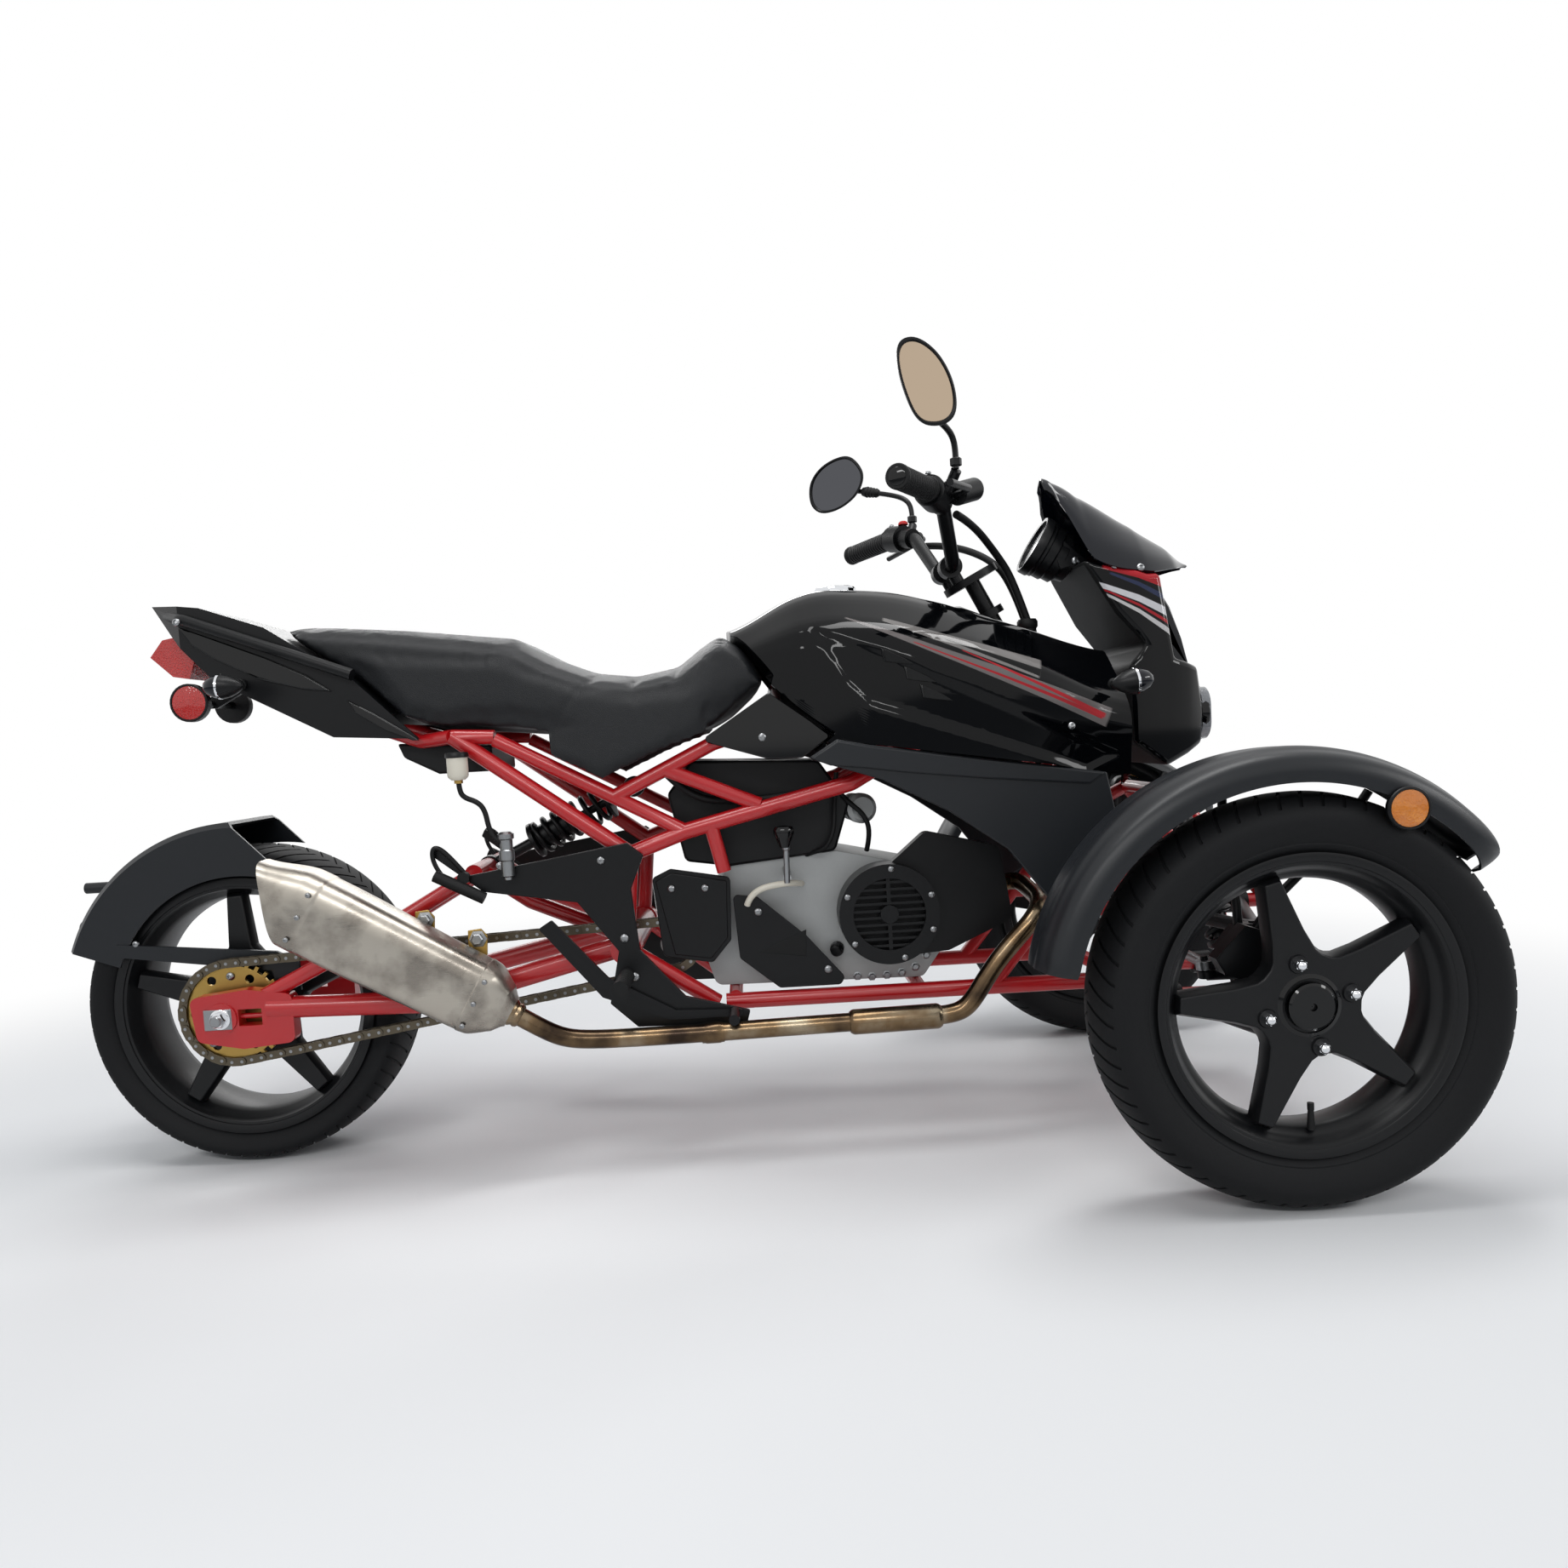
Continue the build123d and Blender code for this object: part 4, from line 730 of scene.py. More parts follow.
def makeRim(name, wheel, hand, centre, body, node):
    barrel = wheel["barrel"]
    wall = [(r - 4.5, y * 0.955) for r, y in reversed(barrel[1:-1])]
    work = spinProfile(barrel + wall, 120, closed=True)
    placeWheel(work, hand, centre)
    finishMesh(name, work, "rimEnamel", body, (node,), 32)
    makeSpokes(name, wheel, hand, centre, body)

    # hub with its cap
    radius, face, cap = wheel["capRadius"], wheel["spokeFace"], wheel["cap"]
    hubProfile = [(radius + 12, wheel["spokeBack"] - 24), (radius + 12, face - 1), (radius + 4, face + 2),
                  (radius + 3, face - 1), (radius, face - 1), (radius - 1, cap - 2), (radius - 4, cap),
                  (5, cap), (4, cap - 4), (0.5, cap - 4)]
    hub = spinProfile(hubProfile, 64)
    placeWheel(hub, hand, centre)
    finishMesh(name + "Cap", hub, "glossBlack", body, (), 32)


def makeSpokes(name, wheel, hand, centre, body):
    # five spokes from one star-shaped face, raised in two steps with a chamfer between
    star = bmesh.new()
    points = []
    for spoke in range(5):
        along = math.radians(wheel["phase"] + 72 * spoke)
        for reach, side in ((wheel["rootAt"], -wheel["rootHalf"]), (wheel["spokeEnd"], -wheel["endHalf"]),
                            (wheel["spokeEnd"], wheel["endHalf"]), (wheel["rootAt"], wheel["rootHalf"])):
            points.append((reach * math.cos(along) - side * math.sin(along),
                           reach * math.sin(along) + side * math.cos(along)))
        for turn, reach in ((25, 1.06), (31, 1.005), (36, 1.0), (41, 1.005), (47, 1.06)):
            crotch = along + math.radians(turn)
            out = wheel["crotch"] * reach
            points.append((out * math.cos(crotch), out * math.sin(crotch)))
    verts = [star.verts.new((x / 1000, wheel["spokeBack"] / 1000, z / 1000)) for x, z in points]
    face = star.faces.new(verts)
    lifted = bmesh.ops.extrude_face_region(star, geom=[face])
    raised = [v for v in lifted["geom"] if isinstance(v, bmesh.types.BMVert)]
    depth = (wheel["spokeFace"] - wheel["spokeBack"]) / 1000
    bmesh.ops.translate(star, verts=raised, vec=(0, depth * 0.55, 0))
    top = [f for f in lifted["geom"] if isinstance(f, bmesh.types.BMFace)]
    bmesh.ops.inset_region(star, faces=top, thickness=0.0045, depth=0.0, use_even_offset=True)
    bmesh.ops.translate(star, verts=list({v for f in top for v in f.verts}), vec=(0, depth * 0.45, 0))
    bmesh.ops.recalc_face_normals(star, faces=star.faces)
    placeWheel(star, hand, centre)
    spokes = finishMesh(name + "Spokes", star, "rimEnamel", body, (), 28)
    bevelPiece(spokes, 1.6, 3, 25)


def addCone(work, form, place, segments):
    # a short cone about the Y axis: lower radius, upper radius, height and middle in mm
    low, high, height, middle = form
    matrix = Matrix.Translation(place + Vector((0, middle / 1000, 0))) @ Matrix.Rotation(-math.pi / 2, 4, "X")
    bmesh.ops.create_cone(work, cap_ends=True, segments=segments, radius1=low / 1000, radius2=high / 1000,
                          depth=height / 1000, matrix=matrix)


def makeLugs(name, wheel, hand, centre, body):
    # domed nuts in shallow cups
    nuts, cups = bmesh.new(), bmesh.new()
    radius, middle = lugForm["dome"]
    for index in range(lugForm["count"]):
        turn = math.radians(lugForm["firstAngle"] + 90 * index)
        out = wheel["lugs"]
        spot = Vector((out * math.cos(turn), wheel["spokeFace"], out * math.sin(turn))) / 1000
        addCone(nuts, lugForm["nut"], spot, 6)
        dome = Matrix.Translation(spot + Vector((0, middle / 1000, 0))) @ Matrix.Diagonal((1, 0.9, 1, 1))
        bmesh.ops.create_uvsphere(nuts, u_segments=20, v_segments=12, radius=radius / 1000, matrix=dome)
        addCone(cups, lugForm["cup"], spot, 28)
    placeWheel(nuts, hand, centre)
    placeWheel(cups, hand, centre)
    finishMesh(name + "Nuts", nuts, "chrome", body, (), 30)
    finishMesh(name + "NutCups", cups, "rimEnamel", body, (), 30)


def makeValve(name, hand, centre, body):
    stem = bmesh.new()
    x, y = valveForm["place"]
    for key in ("stem", "cap"):
        low, high, height, z = valveForm[key]
        bmesh.ops.create_cone(stem, cap_ends=True, segments=14, radius1=low / 1000, radius2=high / 1000,
                              depth=height / 1000, matrix=Matrix.Translation((x / 1000, y / 1000, z / 1000)))
    placeWheel(stem, hand, centre)
    finishMesh(name, stem, "gripRubber", body, (), 30)


def makeWheels():
    for side, hand in (("right", -1), ("left", 1)):
        centre = at(1515, hand * 418, 268)
        body = "wheel_front_" + side
        makeTyre("tyreFront_" + side, frontWheel, hand, centre, body, "tyre_front_" + side)
        makeRim("rimFront_" + side, frontWheel, hand, centre, body, "rim_front_" + side)
        makeLugs("lugs_" + side, frontWheel, hand, centre, body)
        makeValve("valve_" + side, hand, centre, body)
    centre = at(0, 0, 257)
    makeTyre("tyreRear", rearWheel, -1, centre, "wheel_rear", "tyre_rear")
    makeRim("rimRear", rearWheel, -1, centre, "wheel_rear", "rim_rear")
    print("wheels made")


# tank with its shoulders: rows as on the drawing, x, top z, top half width, shoulder z, shoulder half width,
# bottom z, bottom half width
tankForm = {
    "rows": [(806, 806, 62, 762, 112, 738, 106), (924, 857, 80, 790, 162, 640, 160),
             (1010, 860, 90, 785, 193, 622, 190), (1115, 842, 86, 757, 206, 604, 202),
             (1260, 793, 80, 715, 213, 580, 205), (1400, 745, 75, 650, 190, 555, 172)],
    "rearEdge": [(604, 914), (641, 963), (717, 869), (735, 875), (788, 834), (814, 806)],
    "slotStart": 1168, "slotHalf": 47, "crown": 9, "wall": 4,
    "facet": [(938, 797), (984, 715), (1015, 682), (1329, 568), (1376, 587), (1282, 632), (1102, 718),
              (1038, 754)],
    "facetDepth": 4.5, "facetFade": 15, "frontX": 1400,
    # shares of the shell's length over which its back and front edges turn inwards
    "backTurn": 0.04, "frontTurn": 0.03, "turnIn": 36, "turnDown": 16,
    "cap": [(36, -10), (36, 4), (34, 7), (30, 8.5), (24, 8.5), (23, 7.5), (12, 7.5), (11, 10), (0.05, 10)],
    "capAt": (985, 0, 868),
}


def tankLine(x):
    top, topHalf, shoulder, shoulderHalf, bottom, bottomHalf = rowAt(tankForm["rows"], x)
    gap = tankForm["slotHalf"] * easeStep((x - tankForm["slotStart"]) / 14)
    crown = tankForm["crown"] * (1 - 0.6 * easeStep((x - tankForm["slotStart"]) / 60))
    line = [Vector((bottomHalf, bottom)), Vector((shoulderHalf, shoulder)), Vector((topHalf, top)),
            Vector((gap, top + crown))]
    return roundLine(line, 0.16, 3)


def facetPush(x, z):
    # how far the side facet is pressed in at a spot, in mm
    depth = depthInside(tankForm["facet"], x, z)
    return tankForm["facetDepth"] * easeStep(depth / tankForm["facetFade"] + 0.5)


def facetHalf(x, z):
    # half width of the tank's side at a spot, with its facet
    line = tankLine(x)
    for first, second in zip(line, line[1:]):
        if first.y <= z <= second.y:
            half = first.x + (second.x - first.x) * (z - first.y) / max(second.y - first.y, 1e-6)
            return half - facetPush(x, z)
    return line[0].x - facetPush(x, z)


def tankPlace(along, across):
    # the rear edge leans, so its x and z are found together in a few rounds
    edge = 900.0
    for _ in range(4):
        edge = lineAt(tankForm["rearEdge"], alongLine(tankLine(edge), across).y)
    back, front = tankForm["backTurn"], tankForm["frontTurn"]
    inner = max(0.0, back - along) / back + max(0.0, along - (1 - front)) / front
    run = min(max((along - back) / (1 - back - front), 0.0), 1.0)
    x = edge + (tankForm["frontX"] - edge) * run
    point = alongLine(tankLine(x), across)
    y, z = point.x, point.y
    if y > 60:
        y -= facetPush(x, z)
    y -= tankForm["turnIn"] * inner * min(y / 100, 1)
    z -= tankForm["turnDown"] * inner
    return at(x, -y, z)


def makeTank():
    work = shapeSheet(190, 90, tankPlace)
    mirrorSheet(work)
    tank = finishMesh("tankShell", work, "tankPaint", "chassis", ("tank",), 38)
    thicken(tank, tankForm["wall"])
    ringPiece("tankCap", [(at(*tankForm["capAt"]), (0, 0, 1), tankForm["cap"])], "chrome", "chassis")
    print("tank made")


# front mudguards: profile as distance beyond the tyre and outwards, mm
fenderForm = {
    "profile": [(14, 62), (31, 64), (44, 58.5), (50, 50), (53.5, 38), (57.5, 30), (58.5, 18), (56.5, 8),
                (57.5, -6), (56.5, -24), (50, -44), (44, -54), (32, -58)],
    "centreX": 1497, "tyreRadius": 268, "start": 33, "arc": 136, "wall": 3.5,
    # degrees over which the front tip narrows and the rear corners round off, and the middle they draw to
    "tipAngle": 13, "cornerAngle": 3.0, "middle": 3, "wheelY": 418,
    "reflectorAngle": 62, "reflectorReach": 8, "reflectorY": 479.5,
    "reflector": [(27, 0), (27, 5), (26, 6.5), (23.5, 7), (23, 5.5)],
    "lens": [(23, 5), (22.8, 6.2), (14, 8.2), (0.05, 9)],
}


def makeFenders():
    for side, hand in (("right", -1), ("left", 1)):
        points = [Vector(p) for p in fenderForm["profile"]]
        line = roundLine(points, 0.2, 2)

        def place(along, across):
            angle = fenderForm["start"] + fenderForm["arc"] * along
            point = alongLine(line, across)
            beyond, out = point.x, point.y
            near = min(max((angle - fenderForm["start"]) / fenderForm["tipAngle"], 0), 1)
            narrow = math.sqrt(1 - (1 - near) ** 2.4) if near < 1 else 1
            inward = fenderForm["middle"]
            out = inward + (out - inward) * (0.28 + 0.72 * narrow)
            rest = fenderForm["start"] + fenderForm["arc"] - angle
            far = min(max(rest / fenderForm["cornerAngle"], 0), 1)
            out = inward + (out - inward) * (0.9 + 0.1 * math.sqrt(1 - (1 - far) ** 2))
            reach = fenderForm["tyreRadius"] + beyond
            turn = math.radians(angle)
            return at(fenderForm["centreX"] + reach * math.cos(turn), hand * (fenderForm["wheelY"] + out),
                      fenderForm["tyreRadius"] + reach * math.sin(turn))

        work = shapeSheet(110, 44, place)
        bmesh.ops.recalc_face_normals(work, faces=work.faces)
        middle = max(work.faces, key=lambda f: f.calc_center_median().z)
        if middle.normal.z < 0:
            bmesh.ops.reverse_faces(work, faces=work.faces)
        body = "knuckle_" + side
        fender = finishMesh("fender_" + side + "Shell", work, "satinPlastic", body, ("fender_" + side,), 40)
        thicken(fender, fenderForm["wall"])
        turn = math.radians(fenderForm["reflectorAngle"])
        reach = fenderForm["tyreRadius"] + fenderForm["reflectorReach"]
        seat = at(fenderForm["centreX"] + reach * math.cos(turn), hand * fenderForm["reflectorY"],
                  fenderForm["tyreRadius"] + reach * math.sin(turn))
        ringPiece("reflectorRim_" + side, [(seat, (0, hand, 0), fenderForm["reflector"])], "blackPlastic",
                  body)
        ringPiece("reflectorLens_" + side, [(seat, (0, hand, 0), fenderForm["lens"])], "amberLens", body)
    print("fenders made")


# saddle: foam under grained leatherette, with a welt where the two panels meet
seatForm = {
    "voxel": 6, "pressure": 2.6, "mostMove": 4, "shrink": 1.5, "stiffness": 30, "steps": 12,
    "seam": [(598, 745), (560, 700), (522, 640)], "seamWidth": 3.2, "seamDepth": 2.2,
}


def makeSeat():
    work = nodeMesh("seat")
    bmesh.ops.triangulate(work, faces=work.faces)
    seat = finishMesh("seatPad", work, "leatherette", "chassis", ("seat",), 60)
    remesh = seat.modifiers.new("remesh", "REMESH")
    remesh.mode = "VOXEL"
    remesh.voxel_size = seatForm["voxel"] / 1000
    soften = seat.modifiers.new("soften", "SMOOTH")
    soften.factor = 0.5
    soften.iterations = 7
    applyModifiers(seat)
    before = [v.co.copy() for v in seat.data.vertices]
    for vert in seat.data.vertices:
        vert.co -= vert.normal * seatForm["shrink"] / 1000
    cloth = seat.modifiers.new("swell", "CLOTH")
    cloth.settings.use_pressure = True
    cloth.settings.uniform_pressure_force = seatForm["pressure"]
    cloth.settings.effector_weights.gravity = 0
    cloth.settings.tension_stiffness = seatForm["stiffness"]
    cloth.settings.compression_stiffness = seatForm["stiffness"]
    for step in range(1, seatForm["steps"] + 1):
        scene.frame_set(step)
    swollen = seat.evaluated_get(bpy.context.evaluated_depsgraph_get())
    after = [v.co.copy() for v in swollen.data.vertices]
    seat.modifiers.remove(cloth)
    scene.frame_set(1)
    for vert, start, end in zip(seat.data.vertices, before, after):
        move = end - start
        most = seatForm["mostMove"] / 1000
        if move.length > most:
            move *= most / move.length
        vert.co = start + move
    # the welt pulls the cover in along the seam
    seam = [Vector((x, 0, z)) for x, z in seatForm["seam"]]
    for vert in seat.data.vertices:
        spot = Vector((vert.co.x * 1000 + rearAxleToOrigin, 0, vert.co.z * 1000))
        away = min(segmentGap(spot, a, b) for a, b in zip(seam, seam[1:]))
        if away < seatForm["seamWidth"] * 2:
            fall = math.exp(-(away / seatForm["seamWidth"]) ** 2)
            vert.co -= vert.normal * seatForm["seamDepth"] / 1000 * fall
    finer = seat.modifiers.new("finer", "SUBSURF")
    finer.levels = finer.render_levels = 1
    applyModifiers(seat)
    for polygon in seat.data.polygons:
        polygon.use_smooth = True
    print("seat made", len(seat.data.polygons))


# windscreen: smoked sheet with a ridge and two screws a side; rows are x, ridge z, edge z and half width
screenForm = {
    "rows": [(1328, 1033, 1014, 22), (1340, 1026, 985, 52), (1376, 1004, 886, 108), (1456, 952, 862, 110),
             (1512, 914, 868, 74), (1556, 882, 877, 14)],
    "wall": 3.5, "screws": ((1407, 107.5, 872), (1446, 109, 866.5)),
}


def screenPlace(along, across):
    rows = screenForm["rows"]
    x = rows[0][0] + (rows[-1][0] - rows[0][0]) * along
    ridge, edge, half = rowAt(rows, x)
    line = [Vector((half, edge)), Vector((half * 0.86, edge + (ridge - edge) * 0.34)),
            Vector((half * 0.42, edge + (ridge - edge) * 0.86)), Vector((0, ridge))]
    point = alongLine(roundLine(line, 0.25, 3), across)
    return at(x, -point.x, point.y)


def makeScreen():
    work = shapeSheet(56, 36, screenPlace)
    mirrorSheet(work)
    screen = finishMesh("windscreenSheet", work, "smoked", "chassis", ("windscreen",), 40)
    thicken(screen, screenForm["wall"])
    screws = [(x, h * y, z, (0, h, 0.3), 3.0) for x, y, z in screenForm["screws"] for h in (-1, 1)]
    boltPiece("windscreenScrews", screws, "zinc", "chassis")
    print("windscreen made")


# tinted crescent ahead of the nose's paint, outline in mm as x, z
noseForm = {
    "crescent": [(1462, 858), (1482, 858), (1497, 790), (1504, 727), (1545, 714), (1534, 760), (1516, 812),
                 (1494, 850)],
    "crescentHalf": 40, "crescentBevel": 8,
}


def makeNose():
    nose = dressNode("nose_fairing", "nosePaint", 9, 35, 4)
    # painted shade: faces that look rearwards get near-black matte grip rubber instead of the lacquer
    nose.data.materials.append(materials["gripRubber"])
    for polygon in nose.data.polygons:
        if polygon.normal.x < -0.35:
            polygon.material_index = 1  # painted shade: the rearward inside edge lies in shadow, so it gets near-black matte rubber
    work = bmesh.new()
    half = noseForm["crescentHalf"]
    addPlate(work, [at(x, -half, z) for x, z in noseForm["crescent"]], 2 * half)
    bmesh.ops.recalc_face_normals(work, faces=work.faces)
    bevelPiece(finishMesh("noseLens", work, "smoked", "chassis"), noseForm["crescentBevel"], 4)
    print("nose made")


def lampFinish(middle):
    if middle.x > 1450:
        return "clearLens"
    if middle.x > 1300:
        return None
    if middle.z < 752 and abs(middle.y) > 60:
        return "redLens"
    if middle.x < -20 and middle.z > 770:
        return "redLens"
    if abs(middle.y) > 80:
        return None
    return "blackPlastic"


# reflectors, turn signals and the headlamp's rim, profiles as radius and height in mm
lampForm = {
    "reflectorAt": (-38, 66, 745),
    "reflectorRim": [(0.05, -1.5), (4, -1.5), (29.4, -1.2), (30, 0.5), (30, 12), (28.6, 13.2), (26.6, 13.2),
                     (26.4, 11)],
    "reflectorFace": [(26.6, 10.8), (26, 12.2), (16, 13.6), (0.05, 14)],
    "signalLens": [(0.05, -34), (7, -32), (13, -26), (17, -16), (18, -8)],
    "signalShell": [(18, -8), (18.6, -7), (18.4, -4), (16, 6), (11, 16), (5, 24), (0.05, 26)],
    "signalRim": [(17.6, -11), (19, -10), (19, -7), (17.8, -6)],
    # name, place, direction and foot of the stem
    "signals": (("rear", (56, 150, 762), (1, 0, -0.03), (56, 100, 767)),
                ("front", (1380, 235, 690), (-1, 0, -0.1), (1378, 172, 690))),
    "headlampAt": (1560, 0, 640), "headlampSquash": 0.8,
    "headlampRim": [(56, -8), (58, 4), (57, 9), (53, 10), (50, 6), (49.5, -2)],
}


def makeLamps():
    splitNode("lamps", lampFinish, 2.5)
    # red reflectors in black rims; their backs are black with a small bolt
    x, y, z = lampForm["reflectorAt"]
    rings = [(at(x, hand * y, z), (0, hand, 0)) for hand in (-1, 1)]
    ringPiece("tailReflectorRims", [(p, d, lampForm["reflectorRim"]) for p, d in rings], "blackPlastic",
              "chassis")
    ringPiece("tailReflectorLenses", [(p, d, lampForm["reflectorFace"]) for p, d in rings], "redLens",
              "chassis")
    # turn signals: rubber stem, smoked drop-shaped lens in a bright rim
    spots = []
    for hand in (-1, 1):
        for where, place, direction, foot in lampForm["signals"]:
            place, foot = (at(x, hand * y, z) for x, y, z in (place, foot))
            spots.append((where + ("_right" if hand < 0 else "_left"), place, direction, foot))
    for name, key, finish in (("signalLenses", "signalLens", "smoked"),
                              ("signalShells", "signalShell", "blackPlastic"),
                              ("signalRims", "signalRim", "chrome")):
        ringPiece(name, [(p, d, lampForm[key]) for _, p, d, _ in spots], finish, "chassis")
    for where, place, _, foot in spots:
        reach = (place - foot).length * 1000
        stem = [(9, 0), (9, 4), (7.5, 6), (7.5, 10), (8.5, 12), (8.5, 16), (7, 18), (7, reach - 8)]
        ringPiece("signalStem_" + where, [(foot, place - foot, stem)], "gripRubber", "chassis")
    work = bmesh.new()
    centre = at(*lampForm["headlampAt"])
    addRing(work, standAt(centre, (1, 0, 0)), lampForm["headlampRim"], 48)
    bmesh.ops.scale(work, vec=(1, 1, lampForm["headlampSquash"]), verts=work.verts,
                    space=Matrix.Translation(-centre))
    bmesh.ops.recalc_face_normals(work, faces=work.faces)
    finishMesh("headlampRim", work, "glossBlack", "chassis")
    print("lamps made")


def panelFinish(middle):
    return "satinPlastic" if middle.x > 1000 else "glossBlack"


def makePanels():
    splitNode("side_panels", panelFinish, 3)
    dressNode("hugger", "satinPlastic", 1.2, 30)
    dressNode("undertray", "blackPlastic", 4)
    bolts = []
    for hand in (-1, 1):
        bolts += [(853, hand * 164, 641, (0, hand, 0), 3.0), (1301, hand * 213, 632, (0, hand, 0.2), 2.6)]
    boltPiece("panelScrews", bolts, "zinc", "chassis")
    screws = [(x, -89.2, z, (0, -1, 0), 2.4) for x, z in ((-150, 372), (84, 300))]
    boltPiece("huggerScrews", screws, "zinc", "chassis")
    print("panels made")


# muffler: rounded rectangle sections along its axis, reach, half width and half height in mm
mufflerForm = {
    "start": (460, -205, 257), "end": (112, -215, 464),
    "rows": [(0, 19, 20), (14, 30, 34), (45, 43, 52), (110, 45, 55), (345, 47.5, 58), (419, 36, 38)],
    # the end caps stand out by step beyond the seams; power sets how square the section is
    "seams": (62, 318), "step": 1.1, "power": 3.6,
    "mouth": ((130, -214, 432), (-0.99, 0, -0.137)), "outletAt": (137, -214, 433),
    "outlet": [(20, 0), (20, 7), (17.5, 7), (17.5, -18), (0.05, -18)],
    "rivetReaches": (52, 328), "rivetHeights": (-36, 0, 36), "rivetStands": 1.4, "rivetSize": 1.9,
    "weld": [(14.5, -16), (17, -14), (18.5, -10), (17.5, -6), (20, -2), (20.5, 2), (17, 5)],
}


def makeMuffler():
    start, end = at(*mufflerForm["start"]), at(*mufflerForm["end"])
    along = (end - start).normalized()
    aside = (Vector((0, 1, 0)) - along * along.y).normalized()
    upward = aside.cross(along)
    if upward.z < 0:
        upward = -upward
    power = 2 / mufflerForm["power"]

    def place(run, turn):
        reach = mufflerForm["rows"][-1][0] * run
        halfWidth, halfHeight = rowAt(mufflerForm["rows"], reach)
        low, high = mufflerForm["seams"]
        cap = easeStep((low - reach) / 2) + easeStep((reach - high) / 2)
        angle = turn * math.tau
        c, s = math.cos(angle), math.sin(angle)
        y = (halfWidth + cap * mufflerForm["step"]) * math.copysign(abs(c) ** power, c)
        h = (halfHeight + cap * mufflerForm["step"]) * math.copysign(abs(s) ** power, s)
        return start + along * reach / 1000 + aside * y / 1000 + upward * h / 1000

    work = shapeSheet(210, 96, place)
    centre, normal = mufflerForm["mouth"]
    bmesh.ops.bisect_plane(work, geom=work.verts[:] + work.edges[:] + work.faces[:], plane_co=at(*centre),
                           plane_no=normal, clear_outer=True)
    loops = [e for e in work.edges if len(e.link_faces) == 1]
    bmesh.ops.holes_fill(work, edges=loops, sides=0)
    bmesh.ops.recalc_face_normals(work, faces=work.faces)
    mouth = max(work.faces, key=lambda f: f.calc_area())
    bmesh.ops.inset_region(work, faces=[mouth], thickness=0.004, depth=0)
    bmesh.ops.inset_region(work, faces=[mouth], thickness=0.0005, depth=-0.006)
    finishMesh("mufflerCan", work, "stainless", "chassis", ("muffler",), 24)
    ringPiece("mufflerOutlet", [(at(*mufflerForm["outletAt"]), normal, mufflerForm["outlet"])], "stainless",
              "chassis")
    first, last = Vector(mufflerForm["start"]), Vector(mufflerForm["end"])
    rivets = []
    for reach in mufflerForm["rivetReaches"]:
        half = rowAt(mufflerForm["rows"], reach)[0] + mufflerForm["rivetStands"]
        for height in mufflerForm["rivetHeights"]:
            spot = first + (last - first).normalized() * reach + upward * height - aside * half
            rivets.append((*spot, -aside, mufflerForm["rivetSize"]))
    boltPiece("mufflerRivets", rivets, "zinc", "chassis")
    ringPiece("mufflerWeld", [(start, along, mufflerForm["weld"])], "heatTint", "chassis")
    print("muffler made")


# mirrors: outlines in mm about the head's middle, seen on the glass, rightwards and upwards
# each mirror's glass finish carries a painted reflection colour: tan on the right, dark grey on the left
mirrorForm = [
    {"hand": -1, "middle": (1100, -296, 1106), "facing": (0.28, -0.95, -0.12), "top": (-0.1, 0.1, 1.0),
     "outline": [(-37, 53), (-20, 58), (0, 51), (21, 33), (37, 5), (43, -22), (41, -43), (30, -55), (12, -59),
                 (-9, -56), (-22, -42), (-33, -16), (-41, 13), (-43, 38)],
     "neck": (0, -34), "glass": "reflectionPaintedGlass"},
    {"hand": 1, "middle": (1024, 292, 1104), "facing": (-0.5, -0.85, -0.08), "top": (-0.1, 0.0, 1.0),
     "outline": [(-60, -6), (-52, 20), (-28, 40), (4, 49), (34, 48), (52, 28), (60, 2), (40, -28), (2, -45),
                 (-38, -46), (-57, -30)],
     "neck": (34, -18), "glass": "darkReflectionPaintedGlass"},
]
# the head's shell as share of the outline and depth, and its stem: foot, height, radius and nut
mirrorShell = [(0.0, -25), (0.35, -24.5), (0.62, -22), (0.84, -15), (0.96, -7), (1.0, -2), (0.995, 0),
               (0.94, 0.5), (0.9, -1.5), (0.89, -3)]
stemForm = {
    "foot": (1151, 208, 1008), "height": 50, "radius": 4.5,
    "nut": [(8, -6), (8.5, -5), (8.5, 4), (7.5, 5), (5, 6)],
    "boot": [(5, 0)] + [(7 + 1.2 * (i % 2) + 2.2 * i / 8, 3 + i * 3.4) for i in range(9)] + [(8, 36)],
}


